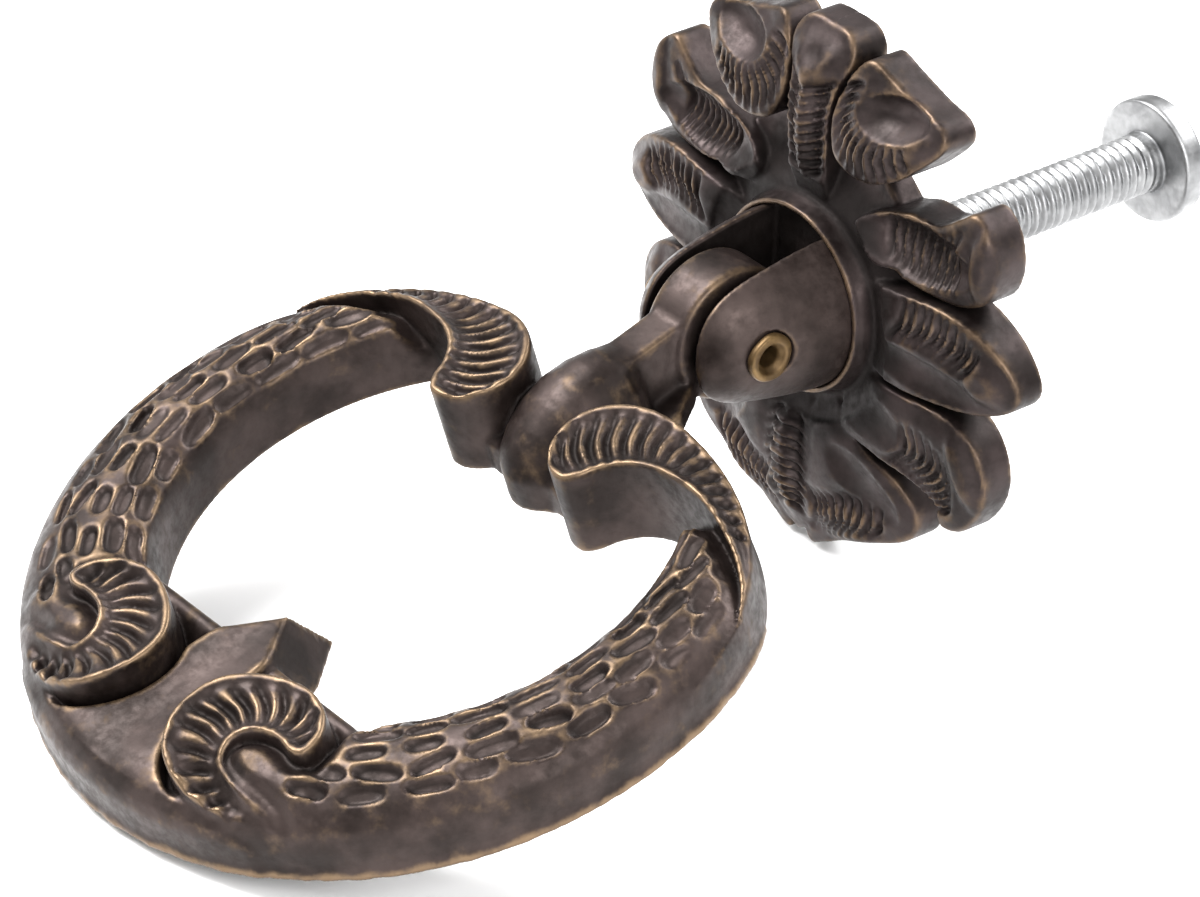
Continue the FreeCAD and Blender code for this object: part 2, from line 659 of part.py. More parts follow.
# The tang in the middle: knuckle about the rivet, shank, ledge behind it and a rounded boss between the scrolls.
knuckle = primitive("Cylinder", "knuckle_barrel", Radius="knuckle_radius", Height="knuckle_width")
place(knuckle, "0 - knuckle_width / 2", "0", "0", ALONG_X)
boss_reach = "ring_reach - boss_rise"
ledge_end = "ring_reach - ledge_end_rise"
shank = primitive("Box", "shank", Length="shank_width", Width=boss_reach, Height="back_level + shank_level")
place(shank, "0 - shank_width / 2", "boss_rise - ring_reach", "0 - back_level")
ledge = primitive("Box", "ledge", Length="ledge_width", Width=ledge_end + " - ledge_start",
                  Height="back_level - ledge_level")
place(ledge, "0 - ledge_width / 2", "ledge_end_rise - ring_reach", "0 - back_level")
boss = turned(
    "boss",
    [
        ("0", "- boss_start"),
        ("0", "boss_tip_rise - ring_reach"),
        ("boss_point", "boss_tip_rise - ring_reach"),
        ("boss_radius", "boss_rise - ring_reach"),
        ("boss_neck", "- boss_start"),
    ],
    bows=[(2, "boss_bow"), (3, "boss_bow")],
)
place(boss, "0", "0", "boss_axis")
bore = primitive("Cylinder", "knuckle_bore", Radius="pin_radius + pin_play", Height="knuckle_width * 2")
place(bore, "0 - knuckle_width", "0", "0", ALONG_X)
ring_solid = join("ring_solid", [raised_half, mirrored("raised_twin", raised_half), keel, knuckle, shank,
                                 ledge, boss])
ring = cut("ring", ring_solid, bore)
ring.Placement = FreeCAD.Placement(Vector(), FreeCAD.Rotation(Vector(1, 0, 0), 1))
ring.setExpression("Placement.Base.y", bound("0 - pin_reach"))
ring.setExpression("Placement.Rotation.Angle", bound("rest_angle"))

doc.recompute()
problems = [item.Name for item in doc.Objects if "Invalid" in item.State or "Error" in item.State]
for item in (rosette, post, rivet, ring, screw):
    if item.Shape.isNull() or not item.Shape.isValid():
        problems.append(item.Name + " shape")
if problems:
    raise ValueError("not sound: " + ", ".join(problems))
for item in (rosette, post, rivet, ring, screw):
    if len(item.Shape.Solids) != 1:
        raise ValueError(item.Name + " is not one solid")
for name, item in (("rosette", rosette), ("post", post), ("rivet", rivet), ("ring", ring), ("screw", screw)):
    item.Label = name
    print(name, len(item.Shape.Solids), round(item.Shape.Volume, 1), item.Shape.BoundBox)
    item.Shape.exportStep("parts/" + name + ".step")
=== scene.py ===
import math

import bpy
import numpy as np
from mathutils import Matrix, Vector


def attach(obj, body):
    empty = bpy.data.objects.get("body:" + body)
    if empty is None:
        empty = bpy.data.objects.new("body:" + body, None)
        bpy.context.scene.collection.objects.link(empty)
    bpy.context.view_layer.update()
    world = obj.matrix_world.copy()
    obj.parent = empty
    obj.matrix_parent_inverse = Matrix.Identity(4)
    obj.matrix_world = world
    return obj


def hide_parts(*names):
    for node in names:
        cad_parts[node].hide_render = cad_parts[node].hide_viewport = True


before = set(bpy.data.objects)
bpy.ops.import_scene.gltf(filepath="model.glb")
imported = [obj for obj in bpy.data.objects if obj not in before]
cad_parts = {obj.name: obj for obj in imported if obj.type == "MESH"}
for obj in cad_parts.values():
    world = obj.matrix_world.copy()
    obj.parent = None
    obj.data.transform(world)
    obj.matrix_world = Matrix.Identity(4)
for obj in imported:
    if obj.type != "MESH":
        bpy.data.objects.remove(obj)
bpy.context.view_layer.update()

# All lengths below are in millimetres until a mesh is made.
MM = 0.001
PIN_REACH = 10.1
PIVOT = np.array([0.0, -PIN_REACH, 0.0])
REST_ANGLE = math.radians(18.6)


# Drawing on a flat sheet


def smooth_line(points, per_span=10, closed=False):
    """A smooth curve through the points, as many short runs."""
    knots = np.array(points, float)
    if closed:
        knots = np.vstack([knots[-1:], knots, knots[:2]])
    else:
        knots = np.vstack([2 * knots[0] - knots[1], knots, 2 * knots[-1] - knots[-2]])
    steps = np.linspace(0, 1, per_span, endpoint=False)[:, None]
    runs = []
    for a, b, c, d in zip(knots, knots[1:], knots[2:], knots[3:]):
        runs.append(0.5 * (2 * b + (c - a) * steps + (2 * a - 5 * b + 4 * c - d) * steps ** 2
                           + (3 * b - a - 3 * c + d) * steps ** 3))
    line = np.vstack(runs)
    return line if closed else np.vstack([line, knots[-2]])


class Sheet:
    """A square grid over one side of a casting, on which heights are drawn."""

    def __init__(self, low, high, step):
        self.step = step
        self.xs = np.arange(low[0], high[0] + step, step)
        self.ys = np.arange(low[1], high[1] + step, step)
        self.x, self.y = np.meshgrid(self.xs, self.ys, indexing="ij")

    def near(self, line, reach):
        """The part of the grid that lies within reach of a line."""
        low = line[:, :2].min(0) - reach
        high = line[:, :2].max(0) + reach
        rows = slice(*np.searchsorted(self.xs, [low[0], high[0]]))
        columns = slice(*np.searchsorted(self.ys, [low[1], high[1]]))
        return rows, columns

    def to_line(self, line, closed=False, reach=None):
        """Distance to the line's nearest point, and the line's third value there. Both fill the grid."""
        far = 99.0 if reach is None else reach
        distance = np.full(self.x.shape, far)
        carried = np.zeros(self.x.shape)
        area = (slice(None), slice(None)) if reach is None else self.near(line, reach)
        px, py = self.x[area], self.y[area]
        best, value = distance[area], carried[area]
        ends = np.roll(line, -1, 0) if closed else line[1:]
        for a, b in zip(line, ends):
            span = b[:2] - a[:2]
            along = ((px - a[0]) * span[0] + (py - a[1]) * span[1]) / max(span @ span, 1e-9)
            along = np.clip(along, 0, 1)
            gap = np.hypot(px - a[0] - along * span[0], py - a[1] - along * span[1])
            closer = gap < best
            best[closer] = gap[closer]
            if line.shape[1] > 2:
                value[closer] = (a[2] + (b[2] - a[2]) * along)[closer]
        return distance, carried

    def inside(self, line):
        """Where the grid lies inside a closed line."""
        flag = np.zeros(self.x.shape, bool)
        for a, b in zip(line, np.roll(line, -1, 0)):
            crosses = (a[1] > self.y) != (b[1] > self.y)
            if a[1] != b[1]:
                flag ^= crosses & (self.x < (b[0] - a[0]) * (self.y - a[1]) / (b[1] - a[1]) + a[0])
        return flag

    def outline(self, line):
        """Signed distance to a closed line, below zero inside, and the third value at the nearest point."""
        distance, carried = self.to_line(line, closed=True)
        return np.where(self.inside(line), -distance, distance), carried


def soft_max(a, b, blend):
    """The larger of two fields, with their meeting rounded."""
    mix = np.clip(blend - np.abs(a - b), 0, None) / blend
    return np.maximum(a, b) + mix * mix * blend / 4


def soft_min(a, b, blend):
    return -soft_max(-a, -b, blend)


def ramp(value, low, high):
    """0 below low, 1 above high, smooth between."""
    t = np.clip((value - low) / (high - low), 0, 1)
    return t * t * (3 - 2 * t)


def bell(value, width):
    return np.exp(-0.5 * (value / width) ** 2)


def spread(field, passes):
    """The field blurred a little, pass by pass."""
    out = field.copy()
    for _ in range(passes):
        padded = np.pad(out, 1, mode="edge")
        out = (padded[:-2, 1:-1] + padded[2:, 1:-1] + padded[1:-1, :-2] + padded[1:-1, 2:] + 2 * out) / 6
    return out


# From a field to a closed skin


def skin(field, origin, step):
    """The closed surface where a solid's field passes zero: a point in each crossed cell, four to a face."""
    solid = field < 0
    cells = tuple(size - 1 for size in field.shape)
    total = np.zeros(cells + (3,))
    count = np.zeros(cells)
    crossings = []
    for axis in range(3):
        first = [slice(None)] * 3
        second = [slice(None)] * 3
        first[axis] = slice(None, -1)
        second[axis] = slice(1, None)
        a, b = field[tuple(first)], field[tuple(second)]
        edge = np.argwhere(solid[tuple(first)] != solid[tuple(second)])
        va, vb = a[tuple(edge.T)], b[tuple(edge.T)]
        spot = edge.astype(float)
        spot[:, axis] += va / (va - vb)
        crossings.append((edge, va < 0))
        others = [k for k in range(3) if k != axis]
        for da in (0, 1):
            for db in (0, 1):
                cell = edge.copy()
                cell[:, others[0]] -= da
                cell[:, others[1]] -= db
                good = np.all((cell >= 0) & (cell < cells), axis=1)
                np.add.at(total, tuple(cell[good].T), spot[good])
                np.add.at(count, tuple(cell[good].T), 1)
    used = count > 0
    number = np.full(cells, -1)
    number[used] = np.arange(used.sum())
    points = total[used] / count[used][:, None] * step + np.array(origin)
    faces = []
    for axis, (edge, leaving) in enumerate(crossings):
        second, third = (axis + 1) % 3, (axis + 2) % 3
        corners = []
        for da, db in ((0, 0), (1, 0), (1, 1), (0, 1)):
            cell = edge.copy()
            cell[:, second] -= da
            cell[:, third] -= db
            corners.append(number[tuple(np.clip(cell, 0, np.array(cells) - 1).T)])
        quad = np.stack(corners, axis=1)
        faces.append(np.where(leaving[:, None], quad, quad[:, ::-1]))
    return points, np.vstack(faces)


def neighbours_mean(points, first, second, count):
    """Each point moved to the mean of its neighbours along the edges."""
    size = len(points)
    total = [np.bincount(first, points[second, k], size) + np.bincount(second, points[first, k], size)
             for k in range(3)]
    return np.stack(total, axis=1) / count[:, None]


def mark_relief(mesh, passes):
    """Stores on each point how far it stands out of the mean form about it, in millimetres."""
    count = len(mesh.vertices)
    points = np.empty(count * 3)
    mesh.vertices.foreach_get("co", points)
    points = points.reshape(-1, 3) / MM
    normals = np.empty(count * 3)
    mesh.vertices.foreach_get("normal", normals)
    normals = normals.reshape(-1, 3)
    edges = np.empty(len(mesh.edges) * 2, int)
    mesh.edges.foreach_get("vertices", edges)
    first, second = edges.reshape(-1, 2).T
    neighbours = np.maximum(np.bincount(first, minlength=count) + np.bincount(second, minlength=count), 1)
    eased = points
    for name, rounds in (("fine_relief", passes), ("broad_relief", passes * 4), ("wide_relief", passes * 50)):
        for _ in range(rounds):
            eased = neighbours_mean(eased, first, second, neighbours)
        height = np.einsum("ij,ij->i", points - eased, normals)
        attribute = mesh.attributes.new(name, "FLOAT", "POINT")
        attribute.data.foreach_set("value", height.astype(np.float32))


# A finer skin than this is thinned out where it is flat
MOST_TRIANGLES = 188000


def make_piece(name, points, faces, body, node, material, wear_and_shade=None, passes=3):
    """A smooth-shaded piece in the row's frame that stands for a node. The wear and shade values are extra
    wear on each point, or painted shade where they are below zero."""
    mesh = bpy.data.meshes.new(name)
    mesh.from_pydata((np.asarray(points) * MM).tolist(), [], np.asarray(faces).tolist())
    mesh.validate()
    mesh.shade_smooth()
    mesh.update()
    mark_relief(mesh, passes)
    if wear_and_shade is not None:
        attribute = mesh.attributes.new("wear_and_shade", "FLOAT", "POINT")
        attribute.data.foreach_set("value", wear_and_shade.astype(np.float32))
    piece = bpy.data.objects.new(name, mesh)
    bpy.context.scene.collection.objects.link(piece)
    mesh.materials.append(material)
    triangles = sum(len(face.vertices) - 2 for face in mesh.polygons)
    if triangles > MOST_TRIANGLES:
        thinned = piece.modifiers.new("thinned", "DECIMATE")
        thinned.ratio = MOST_TRIANGLES / triangles
    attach(piece, body)
    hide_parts(node)
    return piece


# Materials


class Nodes:
    """Short words for placing and joining shader nodes in one tree."""

    def __init__(self, tree):
        self.tree = tree
        tree.nodes.clear()

    def add(self, kind, **settings):
        node = self.tree.nodes.new(kind)
        for key, value in settings.items():
            setattr(node, key, value)
        return node

    def join(self, source, target):
        self.tree.links.new(source, target)

    def math(self, operation, first, second=None, clamp=False):
        node = self.add("ShaderNodeMath", operation=operation, use_clamp=clamp)
        for socket, value in zip(node.inputs, (first, second)):
            if isinstance(value, (int, float)):
                socket.default_value = value
            elif value is not None:
                self.join(value, socket)
        return node.outputs[0]

    def range(self, value, low, high, to_low=0.0, to_high=1.0):
        node = self.add("ShaderNodeMapRange", interpolation_type="SMOOTHSTEP")
        self.join(value, node.inputs["Value"])
        for key, number in (("From Min", low), ("From Max", high), ("To Min", to_low), ("To Max", to_high)):
            if isinstance(number, (int, float)):
                node.inputs[key].default_value = number
            else:
                self.join(number, node.inputs[key])
        return node.outputs["Result"]

    def noise(self, place, scale, detail=4.0, roughness=0.55):
        node = self.add("ShaderNodeTexNoise")
        self.join(place, node.inputs["Vector"])
        node.inputs["Scale"].default_value = scale
        node.inputs["Detail"].default_value = detail
        node.inputs["Roughness"].default_value = roughness
        return node.outputs["Fac"]

    def mix(self, factor, first, second):
        node = self.add("ShaderNodeMix", data_type="RGBA")
        for socket, value in zip((node.inputs[0], node.inputs[6], node.inputs[7]), (factor, first, second)):
            if isinstance(value, (int, float, tuple)):
                socket.default_value = value
            else:
                self.join(value, socket)
        return node.outputs[2]


def group_with(name, inputs, outputs):
    """An empty node group with named sockets: kind, name, start value."""
    tree = bpy.data.node_groups.new(name, "ShaderNodeTree")
    nodes = Nodes(tree)
    for kind, label, start in inputs:
        socket = tree.interface.new_socket(label, in_out="INPUT", socket_type=kind)
        socket.default_value = start
    for kind, label in outputs:
        tree.interface.new_socket(label, in_out="OUTPUT", socket_type=kind)
    return nodes, nodes.add("NodeGroupInput"), nodes.add("NodeGroupOutput")


def build_patina():
    """Dark antique patina, rubbed through to brass on raised edges, with painted shade darkest in the
    hollows.
    """
    nodes, given, result = group_with(
        "antique_patina",
        [
            ("NodeSocketColor", "Patina", (0.03, 0.02, 0.016, 1)),
            ("NodeSocketColor", "Sheen", (0.08, 0.06, 0.055, 1)),
            ("NodeSocketColor", "Brass", (0.4, 0.26, 0.11, 1)),
            ("NodeSocketFloat", "Rub start", 0.02),
            ("NodeSocketFloat", "Rub full", 0.09),
        ],
        [("NodeSocketColor", "Color"), ("NodeSocketFloat", "Roughness"), ("NodeSocketFloat", "Height")],
    )
    place = nodes.add("ShaderNodeTexCoord").outputs["Object"]
    fine = nodes.add("ShaderNodeAttribute", attribute_name="fine_relief").outputs["Fac"]
    broad = nodes.add("ShaderNodeAttribute", attribute_name="broad_relief").outputs["Fac"]
    wide = nodes.add("ShaderNodeAttribute", attribute_name="wide_relief").outputs["Fac"]
    cloud = nodes.noise(place, 260.0, 5.0)
    grain = nodes.noise(place, 1500.0, 4.0, 0.65)
    blotch = nodes.noise(place, 620.0, 3.0, 0.6)
    wear_and_shade = nodes.add("ShaderNodeAttribute", attribute_name="wear_and_shade").outputs["Fac"]
    relief = nodes.math("ADD", fine, nodes.math("MULTIPLY", broad, 0.35))
    # The per-point wear and shade value adds wear above zero and painted shade below zero.
    relief = nodes.math("ADD", relief, nodes.math("MULTIPLY", wear_and_shade, 0.2))
    ragged = nodes.math("MULTIPLY", nodes.math("SUBTRACT", blotch, 0.5), 0.22)
    speckle = nodes.math("MULTIPLY", nodes.math("SUBTRACT", grain, 0.5), 0.10)
    edge = nodes.math("ADD", relief, nodes.math("ADD", ragged, speckle))
    rub = nodes.range(edge, given.outputs["Rub start"], given.outputs["Rub full"])
    # Painted shade: how deep a point lies in a hollow, where shade falls.
    hollow = nodes.math("MAXIMUM", nodes.range(relief, -0.01, -0.16), nodes.range(wide, -0.15, -1.1))
    dull = nodes.range(cloud, 0.35, 0.68)
    base = nodes.mix(dull, given.outputs["Patina"], given.outputs["Sheen"])
    # Painted shade: the hollows are darkened towards near black.
    sunk = nodes.mix(nodes.math("MULTIPLY", hollow, 0.75), base, (0.006, 0.004, 0.0035, 1))
    colour = nodes.mix(nodes.math("MULTIPLY", rub, 0.85), sunk, given.outputs["Brass"])
    rough = nodes.range(grain, 0.3, 0.75, 0.38, 0.6)
    rough = nodes.math("SUBTRACT", rough, nodes.math("MULTIPLY", rub, 0.08))
    rough = nodes.math("ADD", rough, nodes.math("MULTIPLY", hollow, 0.15), clamp=True)
    height = nodes.math("ADD", nodes.math("MULTIPLY", grain, 0.6), nodes.math("MULTIPLY", blotch, 0.8))
    nodes.join(colour, result.inputs["Color"])
    nodes.join(rough, result.inputs["Roughness"])
    nodes.join(height, result.inputs["Height"])
    return nodes.tree


PATINA = build_patina()


def bronze(name, patina, sheen, brass, rub_start, rub_full, bump=0.00003):
    """A bronze material on the shared patina, with its own colours and wear."""
    material = bpy.data.materials.new(name)
    material.use_nodes = True
    nodes = Nodes(material.node_tree)
    coat = nodes.add("ShaderNodeGroup", node_tree=PATINA)
    coat.inputs["Patina"].default_value = (*patina, 1)
    coat.inputs["Sheen"].default_value = (*sheen, 1)
    coat.inputs["Brass"].default_value = (*brass, 1)
    coat.inputs["Rub start"].default_value = rub_start
    coat.inputs["Rub full"].default_value = rub_full
    shader = nodes.add("ShaderNodeBsdfPrincipled")
    bumps = nodes.add("ShaderNodeBump")
    bumps.inputs["Strength"].default_value = 0.5
    bumps.inputs["Distance"].default_value = bump
    nodes.join(coat.outputs["Height"], bumps.inputs["Height"])
    nodes.join(bumps.outputs["Normal"], shader.inputs["Normal"])
    nodes.join(coat.outputs["Color"], shader.inputs["Base Color"])
    nodes.join(coat.outputs["Roughness"], shader.inputs["Roughness"])
    shader.inputs["Metallic"].default_value = 0.75
    shader.inputs["Specular IOR Level"].default_value = 0.5
    output = nodes.add("ShaderNodeOutputMaterial")
    nodes.join(shader.outputs["BSDF"], output.inputs["Surface"])
    return material


RING_BRONZE = bronze("ring_bronze", patina=(0.0125, 0.0075, 0.006), sheen=(0.038, 0.026, 0.023),
                     brass=(0.16, 0.105, 0.06), rub_start=0.02, rub_full=0.17)
ROSETTE_BRONZE = bronze("rosette_bronze", patina=(0.011, 0.0068, 0.006), sheen=(0.034, 0.0235, 0.0225),
                        brass=(0.14, 0.09, 0.052), rub_start=0.04, rub_full=0.22)
POST_BRONZE = bronze("post_bronze", patina=(0.016, 0.0098, 0.008), sheen=(0.050, 0.035, 0.031),
                     brass=(0.16, 0.105, 0.06), rub_start=0.05, rub_full=0.22)
RIVET_BRASS = bronze("rivet_brass", patina=(0.035, 0.020, 0.008), sheen=(0.10, 0.060, 0.024),
                     brass=(0.17, 0.105, 0.042), rub_start=0.0, rub_full=0.07)


def build_zinc():
    """Bright zinc plate with faint cloudiness and fine scratches."""
    material = bpy.data.materials.new("screw_zinc")
    material.use_nodes = True
    nodes = Nodes(material.node_tree)
    place = nodes.add("ShaderNodeTexCoord").outputs["Object"]
    cloud = nodes.noise(place, 500.0, 4.0)
    scratch = nodes.noise(place, 2500.0, 3.0, 0.7)
    sunk = nodes.add("ShaderNodeAttribute", attribute_name="broad_relief").outputs["Fac"]
    shadow = nodes.range(sunk, 0.0, -0.12)
    colour = nodes.mix(nodes.range(cloud, 0.3, 0.7), (0.185, 0.187, 0.19, 1), (0.295, 0.297, 0.3, 1))
    colour = nodes.mix(nodes.math("MULTIPLY", shadow, 0.6), colour, (0.05, 0.052, 0.056, 1))
    shader = nodes.add("ShaderNodeBsdfPrincipled")
    nodes.join(colour, shader.inputs["Base Color"])
    nodes.join(nodes.range(scratch, 0.3, 0.7, 0.34, 0.5), shader.inputs["Roughness"])
    shader.inputs["Metallic"].default_value = 1.0
    bumps = nodes.add("ShaderNodeBump")
    bumps.inputs["Strength"].default_value = 0.25
    bumps.inputs["Distance"].default_value = 0.00002
    nodes.join(scratch, bumps.inputs["Height"])
    nodes.join(bumps.outputs["Normal"], shader.inputs["Normal"])
    output = nodes.add("ShaderNodeOutputMaterial")
    nodes.join(shader.outputs["BSDF"], output.inputs["Surface"])
    return material


SCREW_ZINC = build_zinc()


# The ring, drawn flat on its back: x across, y away from the rivet

RING_STEP = 0.18
RING_MIDDLE = 25.0
RING_RADIUS = 23.3
OPENING_MIDDLE = 23.3
OPENING_RADIUS = 16.4
BAND_WIDTH = RING_RADIUS - OPENING_RADIUS
BAND_START = 8.6
SHOULDER_ACROSS, SHOULDER_MIDDLE, SHOULDER_RADIUS = 8.2, 24.8, 16.0
BACK = -2.5
DOME_RISE = 2.2
DOME_FULLNESS = 0.62
# A field value that is too deep inside to shape anything
DEEP_INSIDE = -9

flat = Sheet((-2 * RING_STEP, -30 * RING_STEP), (23.9, 49.0), RING_STEP)
across, away = flat.x, flat.y
ring_levels = np.arange(-5.22, 4.9, RING_STEP)


def circle(sheet, cx, cy, radius):
    """Signed distance to a circle on a sheet."""
    return np.hypot(sheet.x - cx, sheet.y - cy) - radius


# The opening is a circle set towards the tang; the outside is a wider circle, flattened over the scrolls
shoulder = circle(flat, SHOULDER_ACROSS, SHOULDER_MIDDLE, SHOULDER_RADIUS)
shoulder = np.where(away < SHOULDER_MIDDLE, shoulder, DEEP_INSIDE)
outer_edge = soft_max(circle(flat, 0, RING_MIDDLE, RING_RADIUS), shoulder, 0.8)
inner_edge = -circle(flat, 0, OPENING_MIDDLE, OPENING_RADIUS)
band_edge = soft_max(soft_max(outer_edge, inner_edge, 0.7), BAND_START - away, 0.3)

# The scroll's rim (across, away, level): from its tail on the outer side, round the end by the tang, and back
# along the inside. It turns back at the point of that number.
SCROLL_TURN = 16
SCROLL_RIM = [
    (23.0, 22.4, 0.5), (22.9, 20.2, 0.75), (22.3, 17.6, 1.0), (21.2, 15.3, 1.35), (19.6, 13.4, 1.65),
    (17.6, 11.9, 1.95), (15.0, 10.4, 2.3), (12.0, 9.4, 2.75), (9.0, 8.95, 3.2), (7.0, 9.1, 3.6),
    (5.2, 9.7, 3.8), (3.8, 10.8, 3.9), (3.0, 12.2, 3.9), (2.9, 13.8, 3.9), (3.6, 15.4, 3.9),
    (4.9, 16.5, 3.9), (6.2, 16.7, 3.9), (7.0, 15.9, 3.9), (7.5, 14.7, 3.9), (8.5, 13.5, 3.9),
    (9.9, 12.75, 3.9), (11.6, 12.45, 3.9), (13.4, 12.4, 3.85), (15.2, 12.65, 3.5), (17.0, 13.2, 3.05),
    (18.7, 14.0, 2.55), (20.3, 15.2, 2.0), (21.5, 16.8, 1.5), (22.2, 18.8, 1.05), (22.6, 20.8, 0.75),
]
# The volute's rim at the foot, which curls in on itself round a scooped eye
VOLUTE_TURN = 14
VOLUTE_RIM = [
    (12.6, 43.9, 1.2), (11.0, 44.9, 1.45), (9.2, 45.7, 1.85), (7.2, 46.1, 2.4), (5.4, 45.9, 3.1),
    (3.9, 45.1, 3.6), (2.75, 43.4, 3.9), (2.35, 41.4, 3.9), (2.8, 39.6, 3.9), (4.2, 38.2, 3.9),
    (6.0, 37.3, 3.9), (8.0, 36.95, 3.9), (10.0, 37.5, 3.9), (11.3, 38.8, 3.9), (11.6, 40.2, 3.9),
    (10.9, 40.75, 3.9), (9.4, 40.6, 3.9), (8.0, 40.9, 3.85), (7.1, 41.8, 3.7), (7.1, 42.9, 3.3),
    (8.0, 43.7, 2.7), (9.6, 44.0, 2.1), (11.2, 43.7, 1.6),
]
# The grooves that part the ribs, each from the outer rim to the inner one
SCROLL_GROOVES = [
    ((4.1, 15.3), (5.4, 16.1)), ((3.5, 14.3), (6.0, 15.95)), ((3.4, 13.1), (6.6, 15.3)),
    ((3.9, 12.0), (7.0, 14.6)), ((4.7, 11.2), (7.5, 13.9)), ((5.6, 10.5), (8.0, 13.2)),
    ((6.6, 10.0), (8.6, 12.6)), ((7.7, 9.65), (9.2, 12.2)), ((8.9, 9.5), (9.9, 12.0)),
    ((10.2, 9.55), (10.6, 11.8)), ((11.5, 9.75), (11.5, 11.7)), ((12.8, 10.1), (12.5, 11.7)),
    ((14.0, 10.5), (13.5, 11.75)), ((15.1, 11.0), (14.6, 12.0)), ((16.2, 11.6), (15.7, 12.3)),
    ((17.3, 12.2), (16.8, 12.75)),
]
VOLUTE_GROOVES = [
    ((10.5, 38.9), (10.3, 40.1)), ((9.6, 37.9), (9.6, 40.0)), ((8.1, 37.6), (9.0, 40.0)),
    ((6.4, 37.9), (8.3, 40.2)), ((5.1, 38.7), (7.7, 40.4)), ((4.1, 39.8), (7.0, 40.8)),
    ((3.4, 41.0), (6.6, 41.4)), ((3.1, 42.2), (6.3, 42.0)), ((3.5, 43.3), (6.3, 42.9)),
    ((4.5, 44.6), (6.6, 43.5)), ((5.8, 45.4), (7.2, 44.1)), ((7.1, 45.8), (8.0, 44.5)),
    ((8.5, 45.7), (9.0, 44.7)), ((9.8, 45.5), (10.1, 44.7)),
]


def grooves(sheet, lines, width, depth, bow=0.0, reach=1.2):
    """How far the lines sink the sheet, deepest along each and tapered at its ends."""
    sunk = np.zeros(sheet.x.shape)
    for start, end in lines:
        (x0, y0), (x1, y1) = start, end
        middle = ((x0 + x1) / 2 + (y1 - y0) * bow, (y0 + y1) / 2 - (x1 - x0) * bow)
        line = smooth_line([start, middle, end], 4)
        taper = np.sin(np.linspace(0.45, math.pi - 0.3, len(line)))
        distance, strength = sheet.to_line(np.column_stack([line, taper]), reach=reach)
        sunk = np.maximum(sunk, depth * strength * bell(distance, width))
    return sunk


def rimmed(points, turn, dip, rim_width=0.42):
    """A strip's outline, and its height: a narrow rounded rim round a floor that slopes from rim to rim."""
    edge, _ = flat.outline(smooth_line(points, 8, closed=True))
    outer_gap, outer_level = flat.to_line(smooth_line(points[:turn + 1], 8))
    inner_gap, inner_level = flat.to_line(smooth_line(points[turn:], 8))
    level = (outer_level * inner_gap + inner_level * outer_gap) / np.maximum(outer_gap + inner_gap, 0.01)
    depth = np.clip(-edge, 0, None)
    return edge, spread(level, 2) - dip * ramp(depth, rim_width * 0.6, rim_width * 1.9)


RIM_HEIGHT = 0.25
scroll_edge, scroll_height = rimmed(SCROLL_RIM, SCROLL_TURN, RIM_HEIGHT)
volute_edge, volute_height = rimmed(VOLUTE_RIM, VOLUTE_TURN, RIM_HEIGHT)
scroll_height -= grooves(flat, SCROLL_GROOVES, 0.18, 0.6, -0.1)
volute_height -= grooves(flat, VOLUTE_GROOVES, 0.2, 0.62, 0.1)
scroll_edge = soft_max(scroll_edge, outer_edge + 0.05, 0.3)
volute_edge = soft_max(volute_edge, outer_edge + 0.3, 0.3)

# The domed band between them
band_share = np.clip(inner_edge / (inner_edge + outer_edge - 1e-9), 0, 1)
INNER_LEVEL, OUTER_LEVEL = 1.3, 0.3
dome = INNER_LEVEL + (OUTER_LEVEL - INNER_LEVEL) * band_share
dome += DOME_RISE * np.clip(1 - (2 * band_share - 1) ** 2, 0, 1) ** DOME_FULLNESS


SCALE_ROWS = (0.1, 0.27, 0.44, 0.61, 0.77)
SCALE_PITCH = 3.25
FIRST_TURN, LAST_TURN = 30, 146


def scales():
    """Long rounded pits in staggered rows, which leave a net of ridges over the band."""
    generator = np.random.default_rng(11)
    sunk = np.zeros(across.shape)
    for row, share in enumerate(SCALE_ROWS):
        radius = OPENING_RADIUS + BAND_WIDTH * share
        middle = OPENING_MIDDLE + 1.1 * share
        pitch = math.degrees(SCALE_PITCH / radius)
        turn = FIRST_TURN + pitch * (0.5 * (row % 2) + generator.uniform(-0.12, 0.12))
        while turn < LAST_TURN:
            centre = np.array([radius * math.sin(math.radians(turn)),
                               middle - radius * math.cos(math.radians(turn))])
            lean = math.radians(turn + generator.normal(3.0, 6.5))
            half_length = 1.36 + generator.normal(0, 0.16)
            half_width = 0.47 + generator.normal(0, 0.07)
            deep = 0.42 + generator.normal(0, 0.09)
            centre = centre + generator.normal(0, 0.11, 2)
            turn += pitch * (1 + generator.normal(0, 0.07))
            area = flat.near(centre[None], 2.4)
            dx, dy = across[area] - centre[0], away[area] - centre[1]
            lengthways = dx * math.cos(lean) + dy * math.sin(lean)
            sideways = dx * math.sin(lean) - dy * math.cos(lean)
            reach = (np.abs(lengthways) / half_length) ** 3 + (np.abs(sideways) / half_width) ** 2.2
            sunk[area] = np.maximum(sunk[area], deep * (1 - ramp(reach, 0.35, 1.6)))
    return sunk


